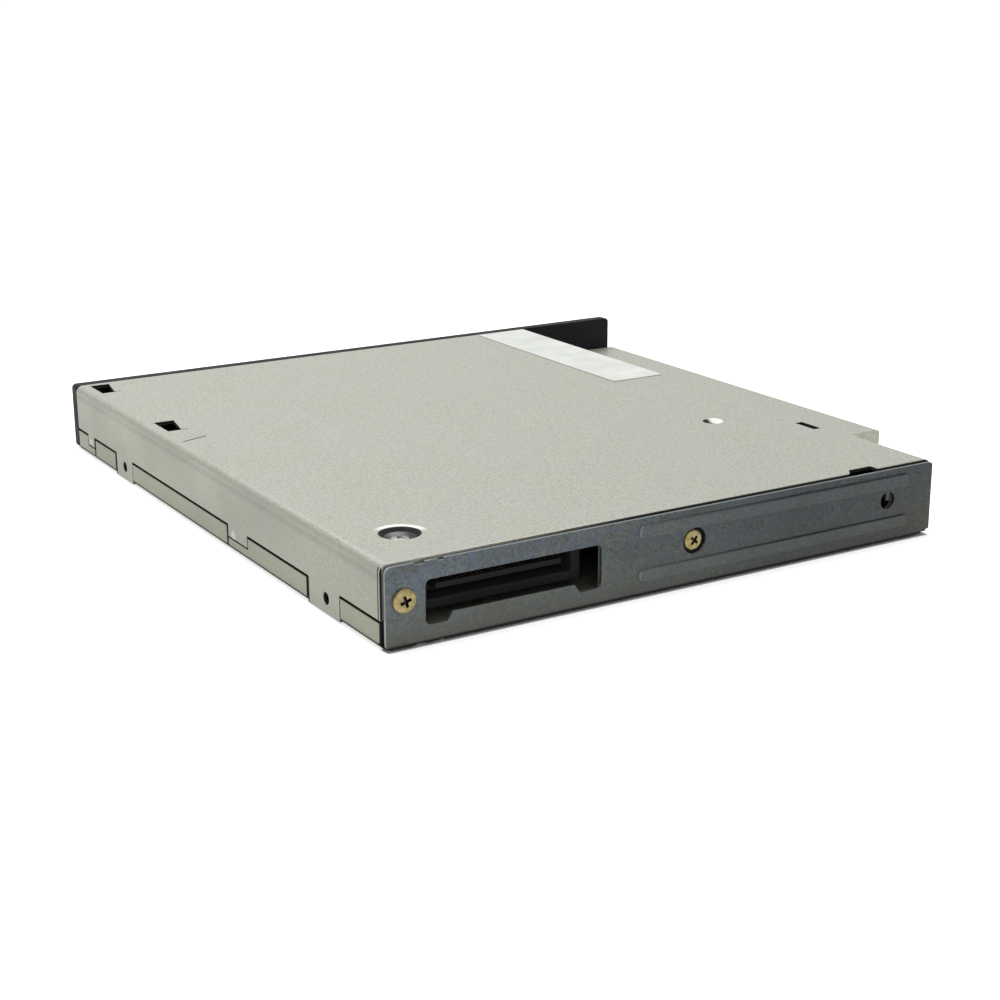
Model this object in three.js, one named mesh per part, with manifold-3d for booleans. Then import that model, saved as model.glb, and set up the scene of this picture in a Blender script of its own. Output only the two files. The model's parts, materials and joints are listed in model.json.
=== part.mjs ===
// Slim optical disc drive of the kind that fits a notebook computer, in millimetres.
// It lies on its top cover with its underside up: +Z is up, +Y is the way the tray opens,
// and the connector is at the rear, at -Y. The deep part of the case is on the left (-X),
// and the thin ledge for the free side of the disc is on the right (+X).

import * as THREE from 'three';
import { mergeVertices } from 'three/addons/utils/BufferGeometryUtils.js';
import Module from 'manifold-3d';

const wasm = await Module();
wasm.setup();

// Case
const caseWidth = 128;
const bodyDepth = 127;
const caseHeight = 12.7;
const deepWidth = 104;
const ledgeHeight = 5.9;
const sheet = 0.6;
const bendRadius = 1.3;
const edgeRadius = 0.8;
const rearEdgeRadius = 0.4;
const seam = 0.3;
const overrun = 5;

// The disc that the drive plays, and the place of its axis, measured from the rear of the case
const discRadius = 60;
const discCentreHoleRadius = 7.5;
const spindlePlace = 64.5;

// The ledge's rear corner follows the disc, up to a square shoulder that holds the end of the runner
const ledgeCornerRadius = 63.35;
const ledgeShoulderPlace = 37.9;
const ledgeShoulderWidth = 6.5;

// Chassis walls: places are measured from the rear of the case, and setbacks from its front
const flapNotchHeight = 4.3;
const flapTopGap = 0.5;
const flapRearGap = 0.6;
const rearFlapEnd = 13.1;
const middleFlapStart = 23.6;
const clipStart = 46.2;
const clipEnd = 53.9;
const middleFlapEndSetback = 29.1;
const frontFlapSetback = 20.6;
const frontClipSetback = 9.2;
const frontClipWidth = 3.8;
const clipFoot = 2.2;
const rightFlapStart = 56;
const rightFlapEndSetback = 17;
const rightNotchHeight = 3.4;
const sideHoleRadius = 1;
const sideHoleHeight = 2.4;
const rearSideHolePlace = 17.5;
const frontSideHoleSetback = 25.3;

// Chassis floor: insets are measured from its left edge and places from its rear edge, setbacks from
// its front, and what is named from the right from the right edge of its deep part
const bigDimpleInset = 9.4;
const bigDimplePlace = 11.4;
const bigDimpleRadius = 3.3;
const bigDimpleFloorRadius = 1.6;
const bigDimpleDepth = 1.1;
const smallDimpleFromRight = 15.4;
const smallDimplePlace = 39.2;
const smallDimpleRadius = 1.9;
const smallDimpleFloorRadius = 1.2;
const smallDimpleDepth = 0.5;
const floorSlotFromRight = 3;
const floorSlotPlace = 25;
const floorSlotLength = 5.2;
const floorSlotWidth = 1.6;
const hookHoleInset = 2.4;
const hookHoleLength = 7.2;
const hookHoleRearWidth = 2.5;
const hookHoleFrontWidth = 3.8;
const rearHookHolePlace = 84.7;
const frontHookHoleSetback = 8.5;
const hookTailLength = 1.6;
const hookTailWidth = 0.35;
const scoreInset = 2;
const scorePlace = 76.7;
const scoreLength = 5.2;
const scoreWidth = 0.3;
const scoreDepth = 0.15;
const scoreAngle = THREE.MathUtils.degToRad(18);
const rearNotchFromRight = 17.7;
const rearNotchWidth = 6;
const rearNotchSlant = 1.4;
const rearNotchDepth = 1.8;
const rearNotchDrop = 1.1;
const coverLugInset = 1.9;
const coverLugWidth = 5.1;
const coverLugLength = 6;
const coverLugHeight = 1.5;

// Rear bracket: places are measured from the left end and from the foot of the bracket
const bracketThickness = 0.5;
const bracketHeight = 12.35;
const bracketLeftInset = 0.35;
const bracketEndGap = 0.15;
const bracketTopRadius = 1.1;
const bracketFarRadius = 0.7;
const bracketChamferLength = 2.9;
const bracketChamferRise = 0.7;
const cutoutLeft = 6.8;
const cutoutRight = 37;
const cutoutTop = 9.5;
const cutoutFoot = 2.65;
const cutoutSill = 3.95;
const cutoutCornerRadius = 0.9;
const sillLeft = 10.4;
const sillRight = 33.2;
const sillSlope = 0.9;
const ribStart = 43.9;
const ribEndFromRight = 5.5;
const ribProud = 0.35;
const lowerRibFoot = 2.1;
const lowerRibTop = 4.15;
const upperRibFoot = 9;
const upperRibTop = 11.2;
const ribEndRadius = 0.9;
const ribBevel = 0.3;
const leftScrewInset = 3.3;
const middleScrewInset = 54.4;
const bracketScrewHeight = 7.1;
const middleScrewWellRadius = 2.15;
const keyHoleFromRight = 9.8;
const keyHoleRadius = 1.5;
const keyTabWidth = 0.8;
const edgeNotchInset = 5.2;
const edgeNotchWidth = 1.6;
const edgeNotchDepth = 0.35;
const edgeStepInset = 9;
const edgeStepWidth = 0.9;

// Screws
const screwHeadRadius = 1.85;
const sunkHeadRadius = 1.65;
const screwHeadHeight = 0.7;
const screwHeadGap = 0.05;
const screwShankRadius = 0.8;
const screwHoleRadius = screwShankRadius + seam;
const bracketScrewReach = 3;
const crossWidth = 0.45;
const crossLength = 1.9;
const crossDepth = 0.4;
const crossShare = 0.65;
const crownShare = 0.33;
const chassisHeadRadius = 1.5;
const chassisHeadHeight = 0.45;
const chassisScrewReach = 3.2;
const coverScrewInset = 4.4;
const coverScrewPlace = 4;
const coverDimpleRadius = 2.1;
const coverDimpleFloorRadius = 1.7;
const coverDimpleDepth = 0.6;
const coverHeadRadius = 1.4;
const coverHeadHeight = 0.25;
const coverScrewReach = 2.1;

// Top cover
const coverPressRadius = 21;
const coverPressDepth = 0.2;

// Bezel, button and lamp lens
const bezelThickness = 2.7;
const bezelRadius = 0.9;
const bezelBevel = 0.5;
const bezelRightInset = 1.6;
const buttonInset = 86;
const buttonWidth = 10;
const buttonFoot = 4.7;
const buttonHeight = 3.2;
const buttonTravel = 0.8;
const buttonRecess = 0.15;
const buttonThickness = 1.9;
const lensInset = 78;
const lensWidth = 3.6;
const lensHeight = 1.6;
const pinholeInset = 101.5;
const pinholeRadius = 0.6;
const switchWidth = 4;
const switchHeight = 2;
const switchThickness = 0.5;
const switchStemRadius = 0.6;

// Tray
const trayMargin = 3.5;
const coverClearance = 0.5;
const hubHeight = 1.8;
const discLift = 0.6;
const trayFloor = 1.2;
const wellClearance = 0.7;
const trayRearPlace = 12;
const trayCornerClearance = 0.55;
const tongueThickness = 0.6;
const leftTongueStart = 22;
const rightTongueStart = 46;
const tongueEndSetback = 2;
const skirtWall = 1.2;
const skirtInset = 1;
const skirtTop = 9.2;
const skirtStart = 42;
const trayFrontWall = 1.5;
const hubWindowRadius = 15.5;
const lensSlotHalfWidth = 9.5;
const lensSlotEndWall = 2.8;

// Runners
const railWall = 0.4;
const leftCaseRailStart = 10;
const rightCaseRailStart = 40;
const caseRailEndSetback = 3;
const leftSlideRailStart = 20;
const rightSlideRailStart = 48;
const leftSlideRailEndSetback = 9;
const rightSlideRailEndSetback = 5;

// Mechanism cover
const coverPlate = 0.4;
const coverPlateStart = 42.3;
const coverHoleRadius = 4;
const latchCornerWidth = 14;

// Traverse: places run out from the spindle axis along the pickup's travel, and across it
const traverseAngle = THREE.MathUtils.degToRad(135);
const frameThickness = 1;
const frameFoot = 6.3;
const frameInnerEnd = -22;
const frameFrontClearance = 5.93;
const frameSideClearance = 1.73;
const frameHalfWidth = 24;
const frameInnerHalfWidth = 16;
const frameOuterHalfWidth = 14;
const frameShoulder = 10;
const frameInnerShoulder = 8;
const motorHoleRadius = 12.5;
const channelHalfWidth = 9;
const windowStart = 15.5;
const windowEndRail = 1.5;
const windowSubSide = 13.5;
const windowScrewSide = 19.4;
const shaftRadius = 1;
const shaftOffset = 12;
const shaftHeight = 7;
const leadScrewRadius = 0.9;
const leadScrewOffset = 17.5;
const stepperLength = 12;
const stepperHalfHeight = 2.1;
const stepperHalfWidth = 3.6;
const damperRadius = 3;
const damperBoreRadius = 1.2;
const damperHeight = 1;
const postRadius = 0.9;
const innerDamperPlace = -14;
const innerDamperOffset = 17;
const outerDamperSetback = 15;
const outerDamperOffset = 21;

// Spindle motor
const hubClearance = 0.2;
const hubRadius = discCentreHoleRadius - hubClearance;
const hubLeadRadius = 6.4;
const hubLeadHeight = 0.6;
const turntableRadius = 13;
const padThickness = 0.2;
const padInnerRadius = 8.6;
const turntableThickness = 0.6;
const rotorRadius = 11.5;
const rotorWall = 0.7;
const rotorTop = 6;
const rotorCapThickness = 0.4;
const spindleRadius = 0.75;
const spindleEnd = 8;
const magnetWall = 0.5;
const magnetGap = 0.15;
const magnetHeight = 1.2;
const statorRadius = 9.3;
const statorHubRadius = 4.2;
const statorFoot = 5;
const statorTop = 7.3;
const statorPoles = 9;
const poleSlotWidth = 1.2;
const bearingRadius = 2.2;
const bearingFoot = 4.9;
const motorBaseRadius = 13.3;
const motorBaseFoot = 7.6;
const motorBaseThickness = 0.8;
const clawCount = 3;
const clawWidth = 2;
const clawHeight = 0.4;
const clawProud = 0.4;
const clawLength = 2.8;
const clawTravel = 0.5;

// Pickup, drawn where it stands with the tray shut, at the inner end of its travel
const pickupStart = 24;
const sledInnerReach = 7;
const sledOuterReach = 4.7;
const sledHalfWidth = 10.2;
const sledFoot = 5.3;
const sledTop = 8.4;
const sledBossOuter = 14.3;
const sledForkOuter = 13.1;
const sledForkLength = 6;
const pocketInnerReach = 4.6;
const pocketOuterReach = 3.6;
const pocketHalfWidth = 7;
const pocketTop = 7.8;
const holderHalfLength = 3;
const holderHalfWidth = 4.4;
const holderFoot = 4.6;
const holderTop = 6.6;
const lensRadius = 2;
const lensFoot = 4.3;
const lensThickness = 0.8;
const lensCrownShare = 0.12;
const magnetBlockWidth = 1.3;
const magnetBlockLength = 5.4;
const magnetBlockFoot = 5.2;
const yokePlateFoot = 7.2;
const yokePlateThickness = 0.35;
const pickupBoardThickness = 0.3;
const pickupBoardGap = 0.2;
const pickupBoardInset = 1;
const nutWidth = 1.7;
const nutLength = 6;
const nutHalfHeight = 0.9;

// Latch: places are measured from the left edge and the rear of the case
const latchPinRadius = 1;
const latchPinEnd = 6.5;
const leverPivotFromRight = 12;
const leverPivotPlace = 25.5;
const leverFoot = 7;
const leverThickness = 1.2;
const leverHubRadius = 2;
const leverArmHalfWidth = 0.9;
const leverNoseReach = 1.9;
const leverNoseWidth = 2.8;
const leverNoseLength = 1.3;
const leverTailLength = 6.4;
const leverTailHalfWidth = 0.7;
const leverPinGap = 0.3;
const latchSpringThickness = 0.3;
const latchSpringStart = 2.6;
const latchSpringLength = 7;
const latchSpringFootLength = 2.6;
const latchSpringHeight = 2.4;
const solenoidWidth = 6.4;
const solenoidPlace = 13;
const solenoidLength = 9;
const solenoidFoot = 5;
const solenoidTop = 9.2;
const plungerRadius = 0.9;
const plungerGap = 0.4;
const plungerDepth = 6;

// Eject push rod
const ejectHousingInset = 38.2;
const ejectHousingWidth = 6;
const ejectHousingPlace = 13.5;
const ejectHousingLength = 14;
const ejectHousingHeight = 4;
const ejectBoreRadius = 1.6;
const ejectBoreWall = 1.2;
const ejectRodRadius = 0.7;
const ejectTipGap = 0.4;
const ejectCollarLength = 0.8;
const ejectCollarPlace = 0.4;
const ejectSpringCoils = 7;
const ejectSpringWire = 0.2;
const ejectSpringRadius = 1.2;

// Main board and its parts
const boardThickness = 0.8;
const boardHeadroom = 1.4;
const boardInset = 1.6;
const boardRearPlace = 1.6;
const boardFrontPlace = 36.5;
const boardFootClearance = 0.2;
const connectorInset = 7.9;
const connectorWidth = 28.2;
const connectorPlace = 3.7;
const connectorLength = 5.6;
const connectorFoot = 3.1;
const connectorMouthInset = 1.6;
const connectorMouthFoot = 4.6;
const connectorMouthTop = 8.1;
const connectorMouthDepth = 3.4;
const contactBladeHeight = 0.9;
const contactBladeInset = 3.2;
const controllerSize = 20;
const controllerInsetShare = 0.18;
const controllerPlace = 12;
const driverWidth = 12;
const driverLength = 10;
const driverInsetShare = 0.602;
const driverPlace = 6;
const memoryWidth = 18;
const memoryLength = 7.6;
const memoryInsetShare = 0.225;
const memoryPlace = 2.6;
const chipHeight = 1.2;
const insulatorThickness = 0.15;
const insulatorGap = 0.1;
const insulatorPlace = 2.6;
const insulatorLength = 26;
const insulatorInset = 3;

// Flat flex cable and its sockets
const flexInset = 60;
const flexWidth = 15;
const flexThickness = 0.15;
const flexUpperHeight = 11.6;
const flexLowerHeight = 10.5;
const flexFoldSetback = 13;
const boardSocketPlace = 31;
const boardSocketLength = 5;
const socketSideMargin = 1.6;
const socketHeight = 1;
const socketGap = 0.2;
const traySocketPlace = 43.5;
const traySocketLength = 5;

// Paper label
const labelWidth = 11.6;
const labelLength = 52.2;
const labelThickness = 0.12;
const labelGap = 0.02;
const labelEdgeInset = 1.3;
const labelFrontSetback = 0.8;

// Levels and places that follow from the sizes above
const rearStack = screwHeadHeight + screwHeadGap + bracketThickness + seam;
const overallDepth = rearStack + bodyDepth + seam + bezelThickness;
const rearY = rearStack - overallDepth / 2;
const frontY = rearY + bodyDepth;
const leftX = -caseWidth / 2;
const rightX = caseWidth / 2;
const deepRightX = leftX + deepWidth;
const spindleX = 0;
const spindleY = rearY + spindlePlace;
const middleFlapEnd = bodyDepth - middleFlapEndSetback;
const frontFlapStart = bodyDepth - frontFlapSetback;
const frontClipStart = bodyDepth - frontClipSetback;
const frontClipEnd = frontClipStart + frontClipWidth;
const rightFlapEnd = bodyDepth - rightFlapEndSetback;
const smallDimpleInset = deepWidth - smallDimpleFromRight;
const leverPivotInset = deepWidth - leverPivotFromRight;
const wallFoot = sheet + seam;
const floorInner = caseHeight - sheet;
const ledgeInner = ledgeHeight - sheet;
const trayRim = sheet + coverClearance;
const discLevel = trayRim + hubHeight;
const wellLevel = discLevel + discLift;
const trayTop = wellLevel + trayFloor;
const trayLeftX = leftX + trayMargin;
const trayRightX = rightX - trayMargin;
const trayFrontY = frontY;
const trayCornerRadius = ledgeCornerRadius - sheet - trayCornerClearance;
const wellRadius = discRadius + wellClearance;
const tongueTop = wellLevel + tongueThickness;
const slideRailFoot = wellLevel - seam - railWall;
const slideRailTop = tongueTop + seam + railWall;
const coverPlateFoot = skirtTop + seam;
const boardTop = floorInner - boardHeadroom;
const boardFoot = boardTop - boardThickness;
const frontReach = frontY - spindleY - frameFrontClearance;
const sideReach = spindleX - trayLeftX - skirtInset - skirtWall - frameSideClearance;
const frameReach = Math.min(frontReach, sideReach);
const frameOuterEnd = frameReach / Math.sin(traverseAngle) - frameOuterHalfWidth;
const windowEnd = frameOuterEnd - windowEndRail;
const bracketBackY = rearY - seam;
const bracketFaceY = bracketBackY - bracketThickness;

// Finishes
const brightSteel = { color: 0xaeada0, roughness: 0.42, metalness: 0.75 };
const greySteel = { color: 0x60686a, roughness: 0.5, metalness: 0.7 };
const springSteel = { color: 0x9a9c9e, roughness: 0.35, metalness: 0.85 };
const brass = { color: 0xb39a55, roughness: 0.35, metalness: 0.8 };
const gold = { color: 0xcaa653, roughness: 0.3, metalness: 0.9 };
const copper = { color: 0xa86a3c, roughness: 0.4, metalness: 0.8 };
const blackPlastic = { color: 0x17181c, roughness: 0.55, metalness: 0 };
const greyPlastic = { color: 0x3b3d40, roughness: 0.6, metalness: 0 };
const boardGreen = { color: 0x1d5236, roughness: 0.55, metalness: 0 };
const chipBlack = { color: 0x1b1b1c, roughness: 0.45, metalness: 0 };
const castAlloy = { color: 0x8d8f90, roughness: 0.55, metalness: 0.7 };
const rubber = { color: 0x252423, roughness: 0.85, metalness: 0 };
const paper = { color: 0xe9e9e2, roughness: 0.8, metalness: 0 };
const socketIvory = { color: 0xd9d4c2, roughness: 0.6, metalness: 0 };
const clearPlastic = { color: 0xc9d6c4, roughness: 0.15, metalness: 0 };
const ribbonWhite = { color: 0xdfe3e2, roughness: 0.5, metalness: 0 };
const blackFilm = { color: 0x202224, roughness: 0.5, metalness: 0 };

// Turning shapes into solids that can be joined and cut, and back

function toSolid(geometry) {
  const bare = new THREE.BufferGeometry();
  bare.setAttribute('position', geometry.getAttribute('position'));
  if (geometry.index) {
    bare.setIndex(geometry.index);
  }
  const merged = mergeVertices(bare);
  const triangles = [];
  for (let i = 0; i < merged.index.count; i += 3) {
    const [a, b, c] = [0, 1, 2].map((k) => merged.index.getX(i + k));
    if (a !== b && b !== c && c !== a) {
      triangles.push(a, b, c);
    }
  }
  return new wasm.Manifold(new wasm.Mesh({
    numProp: 3,
    vertProperties: new Float32Array(merged.getAttribute('position').array),
    triVerts: new Uint32Array(triangles),
  }));
}

function toGeometry(solid) {
  const mesh = solid.getMesh();
  const geometry = new THREE.BufferGeometry();
  geometry.setAttribute('position', new THREE.BufferAttribute(mesh.vertProperties, 3));
  geometry.setIndex(new THREE.BufferAttribute(mesh.triVerts, 1));
  geometry.computeVertexNormals();
  return geometry;
}

function join(first, ...others) {
  return others.reduce((whole, piece) => whole.add(piece), first);
}

function cut(first, ...tools) {
  return tools.reduce((whole, tool) => whole.subtract(tool), first);
}

// Basic shapes: a box from its limits, rods along each axis, and outlines drawn out along each axis

function box([x0, x1], [y0, y1], [z0, z1]) {
  const geometry = new THREE.BoxGeometry(x1 - x0, y1 - y0, z1 - z0);
  geometry.translate((x0 + x1) / 2, (y0 + y1) / 2, (z0 + z1) / 2);
  return toSolid(geometry);
}

function rodAlongZ(x, y, [z0, z1], radius, sides = 32) {
  const geometry = new THREE.CylinderGeometry(radius, radius, z1 - z0, sides);
  geometry.rotateX(Math.PI / 2);
  geometry.translate(x, y, (z0 + z1) / 2);
  return toSolid(geometry);
}

function rodAlongY(x, z, [y0, y1], radius, sides = 20) {
  const geometry = new THREE.CylinderGeometry(radius, radius, y1 - y0, sides);
  geometry.translate(x, (y0 + y1) / 2, z);
  return toSolid(geometry);
}

function rodAlongX(y, z, [x0, x1], radius, sides = 20) {
  const geometry = new THREE.CylinderGeometry(radius, radius, x1 - x0, sides);
  geometry.rotateZ(Math.PI / 2);
  geometry.translate((x0 + x1) / 2, y, z);
  return toSolid(geometry);
}

function outline(points) {
  return new THREE.Shape(points.map(([a, b]) => new THREE.Vector2(a, b)));
}

function drawUp(shape, [z0, z1]) {
  const options = { depth: z1 - z0, bevelEnabled: false, curveSegments: 6 };
  const geometry = new THREE.ExtrudeGeometry(shape, options);
  geometry.translate(0, 0, z0);
  return toSolid(geometry);
}

function drawAlongY(shape, [y0, y1], bevel = 0) {
  const options = { depth: y1 - y0 - 2 * bevel, bevelEnabled: bevel > 0, curveSegments: 5 };
  Object.assign(options, { bevelThickness: bevel, bevelSize: bevel, bevelOffset: -bevel, bevelSegments: 2 });
  const geometry = new THREE.ExtrudeGeometry(shape, options);
  geometry.rotateX(Math.PI / 2);
  geometry.translate(0, y1 - bevel, 0);
  return toSolid(geometry);
}

function drawAlongX(shape, [x0, x1]) {
  const options = { depth: x1 - x0, bevelEnabled: false, curveSegments: 5 };
  const geometry = new THREE.ExtrudeGeometry(shape, options);
  const turn = new THREE.Matrix4().makeBasis(
    new THREE.Vector3(0, 1, 0),
    new THREE.Vector3(0, 0, 1),
    new THREE.Vector3(1, 0, 0),
  );
  geometry.applyMatrix4(turn);
  geometry.translate(x0, 0, 0);
  return toSolid(geometry);
}

// Turned about the Z axis: the profile runs from low to high, from axis to axis or closed
function turned(profile, x = 0, y = 0, sides = 28) {
  const geometry = new THREE.LatheGeometry(profile.map(([r, z]) => new THREE.Vector2(r, z)), sides);
  geometry.rotateX(Math.PI / 2);
  geometry.translate(x, y, 0);
  return toSolid(geometry);
}

function ring(x, y, [z0, z1], innerRadius, outerRadius, sides = 28) {
  return turned([
    [innerRadius, z0],
    [outerRadius, z0],
    [outerRadius, z1],
    [innerRadius, z1],
    [innerRadius, z0],
  ], x, y, sides);
}

// Rounded rectangle with its own radius at each corner, from the lower left round to the upper left
function roundedOutline([a0, a1], [b0, b1], [lowerLeft, lowerRight, upperRight, upperLeft]) {
  const shape = new THREE.Shape();
  shape.moveTo(a0 + lowerLeft, b0);
  shape.lineTo(a1 - lowerRight, b0);
  if (lowerRight > 0) {
    shape.absarc(a1 - lowerRight, b0 + lowerRight, lowerRight, -Math.PI / 2, 0);
  }
  shape.lineTo(a1, b1 - upperRight);
  if (upperRight > 0) {
    shape.absarc(a1 - upperRight, b1 - upperRight, upperRight, 0, Math.PI / 2);
  }
  shape.lineTo(a0 + upperLeft, b1);
  if (upperLeft > 0) {
    shape.absarc(a0 + upperLeft, b1 - upperLeft, upperLeft, Math.PI / 2, Math.PI);
  }
  shape.lineTo(a0, b0 + lowerLeft);
  if (lowerLeft > 0) {
    shape.absarc(a0 + lowerLeft, b0 + lowerLeft, lowerLeft, Math.PI, 1.5 * Math.PI);
  }
  return shape;
}

// Places on the case, measured from its left edge and from its rear edge, and spans along them
const fromLeft = (inset) => leftX + inset;
const fromRear = (place) => rearY + place;
const across = (inset, width) => [fromLeft(inset), fromLeft(inset + width)];
const along = (place, length) => [fromRear(place), fromRear(place + length)];
const wider = ([low, high], margin) => [low - margin, high + margin];
const about = (middle, halfWidth) => [middle - halfWidth, middle + halfWidth];
const past = (levels) => wider(levels, overrun);
const caseWide = past([leftX, rightX]);

const drive = new THREE.Group();
const traverse = new THREE.Group();
traverse.position.set(spindleX, spindleY, 0);
traverse.rotation.z = traverseAngle;
drive.add(traverse);

function addPart(parent, name, solid, finish) {
  const mesh = new THREE.Mesh(toGeometry(solid), new THREE.MeshStandardMaterial(finish));
  mesh.name = name;
  parent.add(mesh);
}

// A solid that was drawn in the traverse's own axes, moved to where the traverse stands
function onTraverse(solid) {
  const geometry = toGeometry(solid);
  geometry.rotateZ(traverseAngle);
  geometry.translate(spindleX, spindleY, 0);
  return toSolid(geometry);
}

// What limits the ledge, seen from above: its rear corner follows the disc, up to the square shoulder
function ledgePlan(inset, levels) {
  const corner = rodAlongZ(spindleX, spindleY, levels, ledgeCornerRadius - inset, 96);
  const front = box([spindleX, rightX + overrun], [spindleY, frontY + overrun], levels);
  const shoulderSpan = [rightX - ledgeShoulderWidth - inset, rightX + overrun];
  const shoulder = box(shoulderSpan, [fromRear(ledgeShoulderPlace) + inset, frontY], levels);
  return join(corner, front, shoulder);
}

function caseBlock(inset) {
  const low = inset > 0 ? -overrun : 0;
  const front = frontY + (inset > 0 ? overrun : 0);
  const bend = bendRadius - inset;
  const edge = edgeRadius - inset;
  const rearBend = Math.max(rearEdgeRadius - inset, 0);
  const levels = [low - overrun, caseHeight + overrun];
  const deepLevels = [low, caseHeight - inset];
  const deepSection = roundedOutline([leftX + inset, deepRightX - inset], deepLevels, [0, 0, bend, bend]);
  const rearEdge = roundedOutline([rearY + inset, front + overrun], deepLevels, [0, 0, 0, rearBend]);
  const deep = drawAlongY(deepSection, [rearY + inset, front]).intersect(drawAlongX(rearEdge, caseWide));
  const ledgeSpan = [deepRightX - 2 * sheet, rightX - inset];
  const ledgeSection = roundedOutline(ledgeSpan, [low, ledgeHeight - inset], [0, 0, edge, 0]);
  const ledge = drawAlongY(ledgeSection, [rearY + inset, front]).intersect(ledgePlan(inset, levels));
  return join(deep, ledge);
}

// A round dimple pressed into a sheet whose outer face is at the given level. The sense is -1
// where the dimple goes down from that face and +1 where it goes up.
function dimple(x, y, level, sense, rimRadius, floorRadius, depth) {
  const cone = (grow, from, to) => {
    const slope = (rimRadius - floorRadius) / depth;
    const radiusAt = (down) => rimRadius + grow - slope * down;
    const depths = sense > 0 ? [from, to] : [to, from];
    const [low, high] = depths.map((down) => [radiusAt(down), level + sense * down]);
    return turned([[0, low[1]], low, high, [0, high[1]]], x, y);
  };
  return {
    boss: cone(sheet / 2, sheet / 2, depth + sheet),
    hollow: cone(0, -sheet, depth),
  };
}

// Head and shank of a cross-head screw. It is drawn along Z with its head up, and then turned.
function screw(headRadius, headHeight, shankLength) {
  const crown = headHeight * crownShare;
  const body = turned([
    [0, -shankLength],
    [screwShankRadius, -shankLength],
    [screwShankRadius, 0],
    [headRadius, 0],
    [headRadius, headHeight - crown],
    [headRadius - crown, headHeight],
    [0, headHeight],
  ], 0, 0, 20);
  const halfLength = Math.min(crossLength / 2, headRadius * crossShare);
  const depth = Math.min(crossDepth, headHeight * crossShare);
  const levels = [headHeight - depth, headHeight + overrun];
  const cross = [[halfLength, crossWidth / 2], [crossWidth / 2, halfLength]]
    .map(([a, b]) => box([-a, a], [-b, b], levels));
  return toGeometry(cut(body, ...cross));
}

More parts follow.
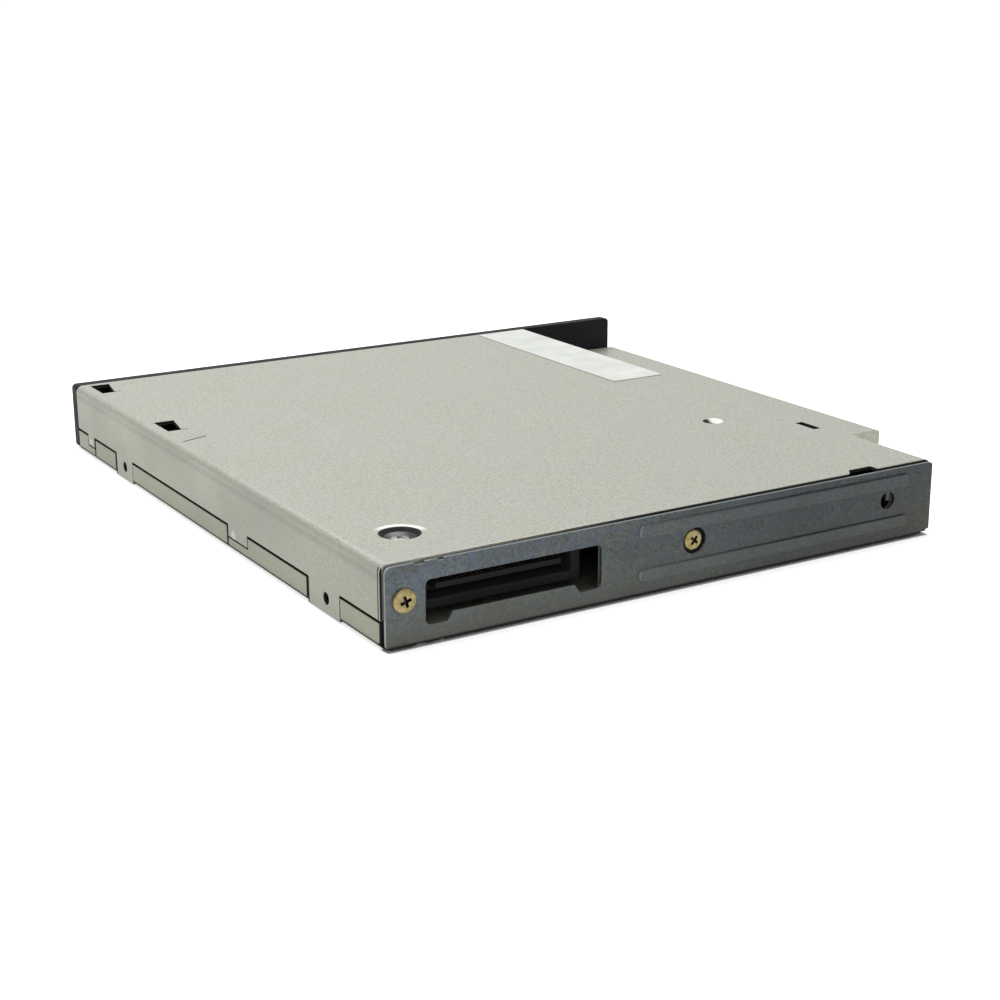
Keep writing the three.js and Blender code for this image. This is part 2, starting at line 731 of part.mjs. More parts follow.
function buildChassis() {
  const walls = [leftX - overrun, leftX + sheet];
  const outerWall = [rightX - sheet, rightX + overrun];
  const throughFloor = [floorInner - overrun, caseHeight + overrun];
  const throughRear = [rearY - overrun, rearY + sheet + seam];
  const underFeet = box([leftX + sheet, rightX + overrun], past([rearY, frontY]), [-overrun, wallFoot]);
  let chassis = cut(caseBlock(0), caseBlock(sheet), underFeet);

  const notches = [
    [-overrun, rearFlapEnd],
    [middleFlapStart, clipStart],
    [clipEnd, middleFlapEnd],
    [frontFlapStart, frontClipStart],
    [frontClipEnd, bodyDepth + overrun],
  ];
  for (const span of notches) {
    chassis = cut(chassis, box(walls, span.map(fromRear), [-overrun, flapNotchHeight]));
  }
  for (const span of [[clipStart, clipEnd], [frontClipStart, frontClipEnd]]) {
    chassis = cut(chassis, box(walls, span.map(fromRear), [-overrun, clipFoot]));
  }
  const rightNotch = [rightFlapStart, rightFlapEnd].map(fromRear);
  chassis = cut(chassis, box(outerWall, rightNotch, [-overrun, rightNotchHeight]));
  for (const place of [rearSideHolePlace, bodyDepth - frontSideHoleSetback]) {
    const span = [leftX - overrun, leftX + sheet + seam];
    chassis = cut(chassis, rodAlongX(fromRear(place), sideHoleHeight, span, sideHoleRadius));
  }

  for (const side of [coverLugInset, deepWidth - coverLugInset - coverLugWidth]) {
    const lugY = [rearY + sheet / 2, rearY + sheet + coverLugLength];
    const lugLevels = [coverLugHeight, coverLugHeight + sheet];
    chassis = join(chassis, box(across(side, coverLugWidth), lugY, lugLevels));
  }
  for (const inset of [coverScrewInset, deepWidth - coverScrewInset]) {
    const levels = [-overrun, coverLugHeight + sheet + seam];
    const hole = rodAlongZ(fromLeft(inset), fromRear(coverScrewPlace), levels, screwHoleRadius, 20);
    chassis = cut(chassis, hole);
  }

  const bigX = fromLeft(bigDimpleInset);
  const bigY = fromRear(bigDimplePlace);
  const smallX = fromLeft(smallDimpleInset);
  const smallY = fromRear(smallDimplePlace);
  const big = dimple(bigX, bigY, caseHeight, -1, bigDimpleRadius, bigDimpleFloorRadius, bigDimpleDepth);
  const small = dimple(smallX, smallY, caseHeight, -1,
    smallDimpleRadius, smallDimpleFloorRadius, smallDimpleDepth);
  chassis = cut(join(chassis, big.boss, small.boss), big.hollow, small.hollow);
  chassis = cut(chassis, rodAlongZ(bigX, bigY, throughFloor, screwHoleRadius, 20));

  const slotSpan = about(deepRightX - floorSlotFromRight, floorSlotWidth / 2);
  chassis = cut(chassis, box(slotSpan, along(floorSlotPlace, floorSlotLength), throughFloor));
  for (const place of [rearHookHolePlace, bodyDepth - frontHookHoleSetback]) {
    const [near, far] = along(place, hookHoleLength);
    const left = fromLeft(hookHoleInset);
    const hole = outline([
      [left, near],
      [left + hookHoleRearWidth, near],
      [left + hookHoleFrontWidth, far],
      [left, far],
    ]);
    const tailStart = left + hookHoleRearWidth - hookTailWidth;
    const tail = box([tailStart, tailStart + hookTailLength], [near, near + hookTailWidth], throughFloor);
    chassis = cut(chassis, drawUp(hole, throughFloor), tail);
  }
  const scoreBar = new THREE.BoxGeometry(scoreLength, scoreWidth, 2 * scoreDepth);
  scoreBar.translate(scoreLength / 2, 0, 0);
  scoreBar.rotateZ(scoreAngle);
  scoreBar.translate(fromLeft(scoreInset), fromRear(scorePlace), caseHeight);
  chassis = cut(chassis, toSolid(scoreBar));

  const notchLevels = [caseHeight - rearNotchDrop, caseHeight + overrun];
  const [notchLeft, notchRight] = across(deepWidth - rearNotchFromRight, rearNotchWidth);
  const rearNotch = outline([
    [notchLeft, rearY - overrun],
    [notchRight, rearY - overrun],
    [notchRight, fromRear(rearNotchDepth)],
    [notchLeft + rearNotchSlant, fromRear(rearNotchDepth)],
    [notchLeft, rearY],
  ]);
  chassis = cut(chassis, drawUp(rearNotch, notchLevels));
  const plugSpan = wider([cutoutLeft, cutoutRight].map(fromLeft), seam);
  chassis = cut(chassis, box(plugSpan, throughRear, wider([cutoutFoot, cutoutTop], seam)));
  const rearHoles = [
    [leftScrewInset, screwHoleRadius],
    [middleScrewInset, screwHoleRadius],
    [deepWidth - keyHoleFromRight, keyHoleRadius + seam],
  ];
  for (const [inset, radius] of rearHoles) {
    chassis = cut(chassis, rodAlongY(fromLeft(inset), bracketScrewHeight, throughRear, radius));
  }
  addPart(drive, 'bottom_chassis', chassis, brightSteel);
}

function buildTopCover() {
  const levels = [0, sheet];
  const deep = box([leftX, deepRightX], [rearY, frontY], levels);
  const ledge = box([deepRightX - overrun, rightX], [rearY, frontY], levels).intersect(ledgePlan(0, levels));
  let cover = join(deep, ledge);
  for (const wall of [[rearFlapEnd, middleFlapStart], [middleFlapEnd, frontFlapStart]]) {
    const relief = wider(wall.map(fromRear), seam);
    cover = cut(cover, box([leftX - overrun, leftX + wallFoot], relief, past(levels)));
  }
  const flapTop = flapNotchHeight - flapTopGap;
  const flaps = [
    [flapRearGap, rearFlapEnd - seam, flapTop],
    [middleFlapStart + seam, clipStart - seam, flapTop],
    [clipStart - 2 * seam, clipEnd + 2 * seam, clipFoot - seam],
    [clipEnd + seam, middleFlapEnd - seam, flapTop],
    [frontFlapStart + seam, frontClipStart - seam, flapTop],
    [frontClipStart - 2 * seam, frontClipEnd + 2 * seam, clipFoot - seam],
    [frontClipEnd + seam, bodyDepth, flapTop],
  ];
  for (const [start, end, top] of flaps) {
    cover = join(cover, box([leftX, leftX + sheet], [fromRear(start), fromRear(end)], [0, top]));
  }
  const rightFlap = [rightFlapStart + seam, rightFlapEnd - seam].map(fromRear);
  cover = join(cover, box([rightX - sheet, rightX], rightFlap, [0, rightNotchHeight - seam]));
  const rounded = roundedOutline([leftX, rightX], [0, caseHeight], [edgeRadius, edgeRadius, 0, 0]);
  cover = cover.intersect(drawAlongY(rounded, [rearY - overrun, frontY + overrun]));
  cover = cut(cover, rodAlongZ(spindleX, spindleY, [-overrun, coverPressDepth], coverPressRadius, 48));
  for (const inset of [coverScrewInset, deepWidth - coverScrewInset]) {
    const x = fromLeft(inset);
    const y = fromRear(coverScrewPlace);
    const seat = dimple(x, y, 0, 1, coverDimpleRadius, coverDimpleFloorRadius, coverDimpleDepth);
    cover = cut(join(cover, seat.boss), seat.hollow);
    cover = cut(cover, rodAlongZ(x, y, [-overrun, overrun], screwHoleRadius, 20));
  }
  addPart(drive, 'top_cover', cover, brightSteel);
}

function cutoutOutline() {
  const r = cutoutCornerRadius;
  const [x0, x1] = [fromLeft(cutoutLeft), fromLeft(cutoutRight)];
  const [s0, s1] = [fromLeft(sillLeft), fromLeft(sillRight)];
  const shape = new THREE.Shape();
  shape.moveTo(x0 + r, cutoutFoot);
  shape.lineTo(s0, cutoutFoot);
  shape.lineTo(s0 + sillSlope, cutoutSill);
  shape.lineTo(s1 - sillSlope, cutoutSill);
  shape.lineTo(s1, cutoutFoot);
  shape.lineTo(x1 - r, cutoutFoot);
  shape.absarc(x1 - r, cutoutFoot + r, r, -Math.PI / 2, 0);
  shape.lineTo(x1, cutoutTop - r);
  shape.absarc(x1 - r, cutoutTop - r, r, 0, Math.PI / 2);
  shape.lineTo(x0 + r, cutoutTop);
  shape.absarc(x0 + r, cutoutTop - r, r, Math.PI / 2, Math.PI);
  shape.lineTo(x0, cutoutFoot + r);
  shape.absarc(x0 + r, cutoutFoot + r, r, Math.PI, 1.5 * Math.PI);
  return shape;
}

function buildRearBracket() {
  const left = leftX + bracketLeftInset;
  const right = deepRightX - bracketEndGap;
  const corners = [bracketFarRadius, 0, bracketFarRadius, bracketTopRadius];
  const plateOutline = roundedOutline([left, right], [0, bracketHeight], corners);
  const plate = drawAlongY(plateOutline, [bracketFaceY, bracketBackY]);
  const through = past([bracketFaceY, bracketBackY]);
  const frontSpan = [bracketFaceY - overrun, bracketFaceY + bracketThickness / 2];
  const front = box([left, right], frontSpan, [0, caseHeight]);
  const chamfer = outline([
    [right - bracketChamferLength, 0],
    [right - bracketChamferLength, -overrun],
    [right + overrun, -overrun],
    [right + overrun, bracketChamferRise],
    [right, bracketChamferRise],
  ]);
  let bracket = cut(plate, drawAlongY(chamfer, through), drawAlongY(cutoutOutline(), through));
  for (const levels of [[lowerRibFoot, lowerRibTop], [upperRibFoot, upperRibTop]]) {
    const ribOutline = roundedOutline([fromLeft(ribStart), deepRightX - ribEndFromRight], levels,
      [ribEndRadius, ribEndRadius, ribEndRadius, ribEndRadius]);
    const rib = drawAlongY(ribOutline, [bracketFaceY - ribProud, bracketBackY], ribBevel);
    bracket = join(bracket, rib.intersect(front));
  }
  bracket = cut(
    bracket,
    rodAlongY(fromLeft(leftScrewInset), bracketScrewHeight, through, screwHoleRadius),
    rodAlongY(fromLeft(middleScrewInset), bracketScrewHeight, through, middleScrewWellRadius, 28),
  );
  const keyX = deepRightX - keyHoleFromRight;
  const tabLevels = [bracketScrewHeight, bracketScrewHeight + keyHoleRadius + seam];
  const keyTab = box(about(keyX, keyTabWidth / 2), through, tabLevels);
  const keyHole = cut(rodAlongY(keyX, bracketScrewHeight, through, keyHoleRadius, 24), keyTab);
  bracket = cut(bracket, keyHole);
  for (const [inset, width] of [[edgeNotchInset, edgeNotchWidth], [edgeStepInset, edgeStepWidth]]) {
    const upper = box(across(inset, width), through, [bracketHeight - edgeNotchDepth, caseHeight]);
    const lower = box(across(inset, width), through, [-overrun, edgeNotchDepth]);
    bracket = cut(bracket, upper, lower);
  }
  addPart(drive, 'rear_bracket', bracket, greySteel);
}

function buildScrews() {
  const facingRear = (geometry, inset, y) => {
    geometry.rotateX(Math.PI / 2);
    geometry.translate(fromLeft(inset), y, bracketScrewHeight);
    return toSolid(geometry);
  };
  const reach = bracketThickness + seam + sheet + bracketScrewReach;
  const left = screw(screwHeadRadius, screwHeadHeight, reach);
  addPart(drive, 'bracket_screw_left', facingRear(left, leftScrewInset, bracketFaceY - screwHeadGap), brass);
  const middle = screw(sunkHeadRadius, screwHeadHeight, sheet + bracketScrewReach);
  addPart(drive, 'bracket_screw_middle', facingRear(middle, middleScrewInset, rearY - screwHeadGap), brass);

  const dimpleFloor = caseHeight - bigDimpleDepth;
  const chassisScrew = screw(chassisHeadRadius, chassisHeadHeight, chassisScrewReach);
  chassisScrew.translate(fromLeft(bigDimpleInset), fromRear(bigDimplePlace), dimpleFloor + screwHeadGap);
  addPart(drive, 'chassis_screw', toSolid(chassisScrew), springSteel);

  const coverScrews = [
    ['cover_screw_left', coverScrewInset],
    ['cover_screw_right', deepWidth - coverScrewInset],
  ];
  for (const [name, inset] of coverScrews) {
    const coverScrew = screw(coverHeadRadius, coverHeadHeight, coverScrewReach);
    coverScrew.rotateX(Math.PI);
    coverScrew.translate(fromLeft(inset), fromRear(coverScrewPlace), coverDimpleDepth - screwHeadGap);
    addPart(drive, name, toSolid(coverScrew), springSteel);
  }
}

function buildBezel() {
  const backY = frontY + seam;
  const faceY = backY + bezelThickness;
  const corners = [bezelRadius, bezelRadius, bezelRadius, bezelRadius];
  const face = roundedOutline([leftX, rightX - bezelRightInset], [0, caseHeight], corners);
  const block = drawAlongY(face, [backY - overrun, faceY], bezelBevel);
  const behind = box(caseWide, [backY - 2 * overrun, backY], past([0, caseHeight]));
  let bezel = cut(block, behind);
  const through = past([backY, faceY]);
  const buttonSpan = across(buttonInset, buttonWidth);
  const buttonLevels = [buttonFoot, buttonFoot + buttonHeight];
  const lensFootLevel = buttonFoot + (buttonHeight - lensHeight) / 2;
  const lensLevels = [lensFootLevel, lensFootLevel + lensHeight];
  const lensSpan = across(lensInset, lensWidth);
  const middle = buttonFoot + buttonHeight / 2;
  bezel = cut(bezel, box(buttonSpan, through, buttonLevels), box(lensSpan, through, lensLevels));
  bezel = cut(bezel, rodAlongY(fromLeft(pinholeInset), middle, through, pinholeRadius, 16));
  addPart(drive, 'front_bezel', bezel, blackPlastic);

  const buttonY = [faceY - buttonRecess - buttonThickness, faceY - buttonRecess];
  const cap = roundedOutline(wider(buttonSpan, -seam), wider(buttonLevels, -seam), [seam, seam, seam, seam]);
  addPart(drive, 'eject_button', drawAlongY(cap, buttonY), greyPlastic);
  const lens = box(wider(lensSpan, -seam), [backY, faceY], wider(lensLevels, -seam));
  addPart(drive, 'indicator_lens', lens, clearPlastic);

  const buttonMiddle = (buttonSpan[0] + buttonSpan[1]) / 2;
  const stemEnd = buttonY[0] - buttonTravel - seam / 2;
  const switchBack = trayFrontY - trayFrontWall + seam;
  const switchFront = switchBack + switchThickness;
  const bodySpan = about(buttonMiddle, switchWidth / 2);
  const body = box(bodySpan, [switchBack, switchFront], about(middle, switchHeight / 2));
  const stem = rodAlongY(buttonMiddle, middle, [switchFront - seam, stemEnd], switchStemRadius, 12);
  addPart(drive, 'eject_switch', join(body, stem), chipBlack);
}

function buildTray() {
  const rearY0 = fromRear(trayRearPlace);
  const floorLevels = [trayRim, trayTop];
  const plan = join(
    rodAlongZ(spindleX, spindleY, floorLevels, trayCornerRadius, 96),
    box([spindleX, trayRightX + overrun], [spindleY, trayFrontY + overrun], floorLevels),
    box([trayLeftX - overrun, spindleX], [rearY0 - overrun, trayFrontY + overrun], floorLevels),
  );
  let tray = box([trayLeftX, trayRightX], [rearY0, trayFrontY], floorLevels).intersect(plan);
  tray = cut(tray, rodAlongZ(spindleX, spindleY, [-overrun, wellLevel], wellRadius, 96));

  const tongueEnd = trayFrontY - tongueEndSetback;
  const tongueReach = trayMargin - (sheet + 2 * seam + 2 * railWall + seam);
  const tongueLevels = [wellLevel, tongueTop];
  tray = join(
    tray,
    box(about(trayLeftX, tongueReach), [fromRear(leftTongueStart), tongueEnd], tongueLevels),
    box(about(trayRightX, tongueReach), [fromRear(rightTongueStart), tongueEnd], tongueLevels),
  );

  const skirtLevels = [trayTop - trayFloor / 2, skirtTop];
  const skirtLeft = trayLeftX + skirtInset;
  const skirtRight = deepRightX - sheet - skirtInset - seam;
  const skirtFront = trayFrontY - trayFrontWall;
  const skirtSpan = [fromRear(skirtStart), skirtFront];
  const walls = join(
    box([skirtLeft, skirtLeft + skirtWall], skirtSpan, skirtLevels),
    box([skirtRight - skirtWall, skirtRight], skirtSpan, skirtLevels),
    box([skirtLeft, skirtRight], [skirtFront - skirtWall, skirtFront], skirtLevels),
  );
  tray = join(tray, walls);

  const windowLevels = [trayRim - overrun, trayTop + overrun / 2];
  const hubWindow = rodAlongZ(spindleX, spindleY, windowLevels, hubWindowRadius, 48);
  const lensSlotSpan = [0, frameOuterEnd - lensSlotEndWall];
  const lensSlot = onTraverse(box(lensSlotSpan, about(0, lensSlotHalfWidth), windowLevels));
  tray = cut(tray, hubWindow, lensSlot);

  const postLevels = [trayTop - trayFloor / 2, skirtTop - seam];
  for (const [p, q] of damperPlaces) {
    tray = join(tray, onTraverse(rodAlongZ(p, q, postLevels, postRadius, 14)));
  }
  const pivotLevels = [trayTop - trayFloor / 2, leverFoot + leverThickness + seam];
  const pivot = rodAlongZ(fromLeft(leverPivotInset), fromRear(leverPivotPlace), pivotLevels, postRadius, 16);
  tray = join(tray, pivot);
  addPart(drive, 'tray', tray, blackPlastic);
}

const outerDamperPlace = frameOuterEnd - outerDamperSetback;
const damperPlaces = [
  [innerDamperPlace, -innerDamperOffset],
  [innerDamperPlace, innerDamperOffset],
  [outerDamperPlace, -outerDamperOffset],
  [outerDamperPlace, outerDamperOffset],
];

// A runner of bent strip. Its web stands at webX, and its legs point inwards, the way that side gives.
function runner(side, webDistance, legEnd, span, foot, top, legs) {
  const webX = side * (caseWidth / 2 - webDistance);
  const inner = webX - side * railWall;
  const tip = side * (caseWidth / 2 - legEnd);
  const sorted = (a, b) => [Math.min(a, b), Math.max(a, b)];
  let strip = box(sorted(webX, inner), span, [foot, top]);
  if (legs.includes('foot')) {
    strip = join(strip, box(sorted(webX, tip), span, [foot, foot + railWall]));
  }
  if (legs.includes('top')) {
    strip = join(strip, box(sorted(webX, tip), span, [top - railWall, top]));
  }
  return strip;
}

function buildRunners() {
  const caseWeb = sheet + seam;
  const slideWeb = caseWeb + railWall + seam;
  const legEnd = trayMargin - seam;
  const caseFoot = slideRailFoot - seam - railWall;
  const caseTop = slideRailTop + seam + railWall;
  const ledgeTop = ledgeInner - seam;
  const caseEnd = frontY - caseRailEndSetback;
  const leftCaseSpan = [fromRear(leftCaseRailStart), caseEnd];
  const rightCaseSpan = [fromRear(rightCaseRailStart), caseEnd];
  const leftSlideSpan = [fromRear(leftSlideRailStart), frontY - leftSlideRailEndSetback];
  const rightSlideSpan = [fromRear(rightSlideRailStart), frontY - rightSlideRailEndSetback];
  const bothLegs = ['foot', 'top'];
  const leftCase = runner(-1, caseWeb, legEnd, leftCaseSpan, caseFoot, caseTop, bothLegs);
  const rightCase = runner(1, caseWeb, legEnd, rightCaseSpan, caseFoot, ledgeTop, ['foot']);
  const leftSlide = runner(-1, slideWeb, legEnd, leftSlideSpan, slideRailFoot, slideRailTop, bothLegs);
  const rightSlide = runner(1, slideWeb, legEnd, rightSlideSpan, slideRailFoot, slideRailTop, bothLegs);
  addPart(drive, 'left_case_rail', leftCase, springSteel);
  addPart(drive, 'right_case_rail', rightCase, springSteel);
  addPart(drive, 'left_slide_rail', leftSlide, brightSteel);
  addPart(drive, 'right_slide_rail', rightSlide, brightSteel);
}

function buildMechanismCover() {
  const left = trayLeftX + skirtInset;
  const right = deepRightX - sheet - skirtInset - seam;
  const start = fromRear(coverPlateStart);
  const end = trayFrontY - trayFrontWall;
  const levels = [coverPlateFoot, coverPlateFoot + coverPlate];
  const plan = outline([
    [left, start],
    [right - latchCornerWidth, start],
    [right, start + latchCornerWidth / 2],
    [right, end],
    [left, end],
  ]);
  const hole = rodAlongZ(spindleX, spindleY, past(levels), coverHoleRadius, 24);
  addPart(drive, 'mechanism_cover', cut(drawUp(plan, levels), hole), brightSteel);
}

function buildTraverseFrame() {
  const levels = [frameFoot, frameFoot + frameThickness];
  const through = [frameFoot - overrun, frameFoot + frameThickness + overrun];
  const plate = drawUp(outline([
    [frameInnerEnd, -frameInnerHalfWidth],
    [frameInnerEnd + frameInnerShoulder, -frameHalfWidth],
    [frameOuterEnd - frameShoulder, -frameHalfWidth],
    [frameOuterEnd, -frameOuterHalfWidth],
    [frameOuterEnd, frameOuterHalfWidth],
    [frameOuterEnd - frameShoulder, frameHalfWidth],
    [frameInnerEnd + frameInnerShoulder, frameHalfWidth],
    [frameInnerEnd, frameInnerHalfWidth],
  ]), levels);
  const stepperStart = windowStart - stepperLength - 3 * seam;
  const stepperPocket = box([stepperStart, windowStart + seam],
    about(leadScrewOffset, stepperHalfWidth + seam), through);
  let frame = cut(
    plate,
    rodAlongZ(0, 0, through, motorHoleRadius, 40),
    box([0, windowStart + seam], [-channelHalfWidth, channelHalfWidth], through),
    drawUp(outline([
      [windowStart, -windowSubSide],
      [windowEnd, -windowSubSide],
      [windowEnd, windowSubSide],
      [windowEnd - frameShoulder / 2, windowScrewSide],
      [windowStart, windowScrewSide],
    ]), through),
    stepperPocket,
  );
  for (const [p, q] of damperPlaces) {
    frame = cut(frame, rodAlongZ(p, q, through, damperBoreRadius, 14));
  }
  addPart(traverse, 'traverse_frame', frame, castAlloy);
}

function buildDampers() {
  const top = frameFoot - seam;
  damperPlaces.forEach(([p, q], i) => {
    const damper = ring(p, q, [top - damperHeight, top], damperBoreRadius, damperRadius, 20);
    addPart(traverse, `rubber_damper_${i + 1}`, damper, rubber);
  });
}

// A bar that runs out from the spindle axis at an angle, between two radii
function spoke([inner, outer], width, [z0, z1], angle) {
  const geometry = new THREE.BoxGeometry(outer - inner, width, z1 - z0);
  geometry.translate((inner + outer) / 2, 0, (z0 + z1) / 2);
  geometry.rotateZ(angle);
  return toSolid(geometry);
}

function buildSpindle() {
  const padTop = discLevel + padThickness;
  const flangeFoot = padTop + seam / 3;
  const flangeTop = flangeFoot + turntableThickness;
  const inner = rotorRadius - rotorWall;
  let rotor = turned([
    [0, trayRim],
    [hubLeadRadius, trayRim],
    [hubRadius, trayRim + hubLeadHeight],
    [hubRadius, flangeFoot],
    [turntableRadius, flangeFoot],
    [turntableRadius, flangeTop],
    [rotorRadius, flangeTop],
    [rotorRadius, rotorTop],
    [inner, rotorTop],
    [inner, flangeTop + rotorCapThickness],
    [spindleRadius, flangeTop + rotorCapThickness],
    [spindleRadius, spindleEnd],
    [0, spindleEnd],
  ], 0, 0, 40);
  const clawMiddle = (trayRim + hubLeadHeight + discLevel) / 2;
  const clawOuter = hubRadius + clawProud;
  const clawInner = clawOuter - clawLength;
  const slotInner = clawInner - clawTravel - seam;
  const slotSpan = [slotInner, hubRadius + seam];
  for (let i = 0; i < clawCount; i += 1) {
    const angle = (2 * Math.PI * i) / clawCount;
    const slot = spoke(slotSpan, clawWidth + 2 * seam, about(clawMiddle, clawHeight / 2 + seam), angle);
    rotor = cut(rotor, slot);
    const claw = spoke([clawInner, clawOuter], clawWidth, about(clawMiddle, clawHeight / 2), angle);
    addPart(traverse, `hub_claw_${i + 1}`, claw, greyPlastic);
  }
  addPart(traverse, 'spindle_rotor', rotor, springSteel);
  const pad = ring(0, 0, [discLevel, padTop], padInnerRadius, turntableRadius, 32);
  addPart(traverse, 'turntable_pad', pad, rubber);
  const magnetOuter = inner - magnetGap;
  addPart(traverse, 'rotor_magnet',
    ring(0, 0, [rotorTop - magnetHeight, rotorTop], magnetOuter - magnetWall, magnetOuter, 32), chipBlack);

  const statorLevels = [statorFoot, statorTop];
  let stator = ring(0, 0, statorLevels, bearingRadius + seam, statorRadius, 36);
  for (let i = 0; i < statorPoles; i += 1) {
    const angle = (2 * Math.PI * i) / statorPoles;
    const slot = spoke([statorHubRadius, statorRadius + seam], poleSlotWidth, past(statorLevels), angle);
    stator = cut(stator, slot);
  }
  addPart(traverse, 'motor_stator', stator, copper);
  const base = turned([
    [spindleRadius + seam, bearingFoot],
    [bearingRadius, bearingFoot],
    [bearingRadius, motorBaseFoot],
    [motorBaseRadius, motorBaseFoot],
    [motorBaseRadius, motorBaseFoot + motorBaseThickness],
    [spindleRadius + seam, motorBaseFoot + motorBaseThickness],
    [spindleRadius + seam, bearingFoot],
  ], 0, 0, 32);
  addPart(traverse, 'motor_base', base, castAlloy);
}

function buildSledDrive() {
  const shaftSpan = [windowStart + 2 * seam, windowEnd - seam];
  const shaftAt = (offset) => rodAlongX(offset, shaftHeight, shaftSpan, shaftRadius, 16);
  addPart(traverse, 'main_guide_shaft', shaftAt(shaftOffset), springSteel);
  addPart(traverse, 'sub_guide_shaft', shaftAt(-shaftOffset), springSteel);
  const stepperEnd = windowStart - 2 * seam;
  const canRadius = stepperHalfHeight;
  const canOutline = roundedOutline(
    about(leadScrewOffset, stepperHalfWidth),
    about(shaftHeight, stepperHalfHeight),
    [canRadius, canRadius, canRadius, canRadius],
  );
  const can = drawAlongX(canOutline, [stepperEnd - stepperLength, stepperEnd]);
  addPart(traverse, 'sled_motor', can, springSteel);
  const screwSpan = [stepperEnd + seam, windowEnd - frameShoulder / 2 - seam];
  const leadScrew = rodAlongX(leadScrewOffset, shaftHeight, screwSpan, leadScrewRadius, 14);
  addPart(traverse, 'lead_screw', leadScrew, brass);
}

function buildPickup() {
  const span = [pickupStart - sledInnerReach, pickupStart + sledOuterReach];
  const levels = [sledFoot, sledTop];
  const bore = shaftRadius + seam;
  const pocket = box([pickupStart - pocketInnerReach, pickupStart + pocketOuterReach],
    [-pocketHalfWidth, pocketHalfWidth], [sledFoot - overrun, pocketTop]);
  const forkSpan = about(pickupStart, sledForkLength / 2);
  const slotAcross = [-sledForkOuter - overrun, -shaftOffset + bore];
  const forkSlot = box(past(forkSpan), slotAcross, about(shaftHeight, bore));
  const body = join(
    box(span, [-sledHalfWidth, sledBossOuter], levels),
    box(forkSpan, [-sledForkOuter, -sledHalfWidth + seam], levels),
  );
  const mainBore = rodAlongX(shaftOffset, shaftHeight, past(span), bore);
  addPart(traverse, 'pickup_sled', cut(body, pocket, forkSlot, mainBore), castAlloy);

  const yokeReach = holderHalfWidth + 2 * seam + magnetBlockWidth;
  const yokeSpan = about(pickupStart, magnetBlockLength / 2);
  const yokeTop = yokePlateFoot + yokePlateThickness;
  const yokeBlock = box(yokeSpan, about(0, yokeReach), [magnetBlockFoot, yokeTop]);
  const gapAcross = about(0, yokeReach - magnetBlockWidth);
  const yokeGap = box(past(yokeSpan), gapAcross, [magnetBlockFoot - overrun, yokePlateFoot]);
  addPart(traverse, 'actuator_yoke', cut(yokeBlock, yokeGap), chipBlack);

  const holderLevels = [holderFoot, holderTop];
  const holder = cut(
    box(about(pickupStart, holderHalfLength), about(0, holderHalfWidth), holderLevels),
    rodAlongZ(pickupStart, 0, past(holderLevels), lensRadius + seam, 24),
  );
  addPart(traverse, 'lens_holder', holder, blackPlastic);
  const lensMiddle = lensFoot + lensThickness / 2;
  const lens = turned([
    [0, lensFoot],
    [lensRadius / 2, lensFoot + lensThickness * lensCrownShare],
    [lensRadius, lensMiddle],
    [lensRadius, lensFoot + lensThickness],
    [0, lensFoot + lensThickness],
  ], pickupStart, 0, 24);
  addPart(traverse, 'objective_lens', lens, clearPlastic);

  const boardFootLevel = sledTop + pickupBoardGap;
  const board = box(wider(span, -pickupBoardInset), about(0, sledHalfWidth - pickupBoardInset),
    [boardFootLevel, boardFootLevel + pickupBoardThickness]);
  addPart(traverse, 'pickup_board', board, boardGreen);
  const nutOuter = leadScrewOffset - leadScrewRadius - seam;
  const nutAcross = [nutOuter - nutWidth, nutOuter];
  const nut = box(about(pickupStart, nutLength / 2), nutAcross, about(shaftHeight, nutHalfHeight));
  addPart(traverse, 'lead_nut', nut, greyPlastic);
}

function buildLatch() {
  const pinX = fromLeft(smallDimpleInset);
  const pinY = fromRear(smallDimplePlace);
  const pinTop = caseHeight - smallDimpleDepth - sheet - seam;
  addPart(drive, 'latch_pin', rodAlongZ(pinX, pinY, [latchPinEnd, pinTop], latchPinRadius, 18), springSteel);

  const x = fromLeft(leverPivotInset);
  const y = fromRear(leverPivotPlace);
  const levels = [leverFoot, leverFoot + leverThickness];
  const noseEnd = pinY - latchPinRadius - leverPinGap;
  const noseX = x - leverNoseReach;
  const lever = cut(
    join(
      rodAlongZ(x, y, levels, leverHubRadius, 24),
      box(about(x, leverArmHalfWidth), [y, noseEnd], levels),
      box([noseX, noseX + leverNoseWidth], [noseEnd - leverNoseLength, noseEnd], levels),
      box([x, x + leverTailLength], about(y, leverTailHalfWidth), levels),
    ),
    rodAlongZ(x, y, past(levels), postRadius + seam, 20),
  );
  addPart(drive, 'latch_lever', lever, greyPlastic);

  const leafX = x + leverArmHalfWidth + 2 * seam;
  const leafStart = y + latchSpringStart;
  const leafEnd = leafStart + latchSpringLength;
  const leafLevels = [trayTop + seam, trayTop + seam + latchSpringHeight + leverThickness];
  const leaf = join(
    box([leafX, leafX + latchSpringThickness], [leafStart, leafEnd], leafLevels),
    box([leafX, leafX + latchSpringFootLength], [leafEnd - latchSpringThickness, leafEnd], leafLevels),
  );
  addPart(drive, 'latch_spring', leaf, springSteel);

  const plungerX = x + leverTailLength - plungerRadius;
  const plungerZ = leverFoot + leverThickness / 2;
  const coilY = along(solenoidPlace, solenoidLength);
  const plungerEnd = y - leverTailHalfWidth - plungerGap;
  const boreStart = coilY[1] - plungerDepth - 2 * seam;
  const coil = cut(
    box(about(plungerX, solenoidWidth / 2), coilY, [solenoidFoot, solenoidTop]),
    rodAlongY(plungerX, plungerZ, [boreStart, coilY[1] + overrun], plungerRadius + seam, 18),
  );
  addPart(drive, 'latch_solenoid', coil, copper);
  addPart(drive, 'solenoid_plunger',
    rodAlongY(plungerX, plungerZ, [coilY[1] - plungerDepth, plungerEnd], plungerRadius, 16), springSteel);
}

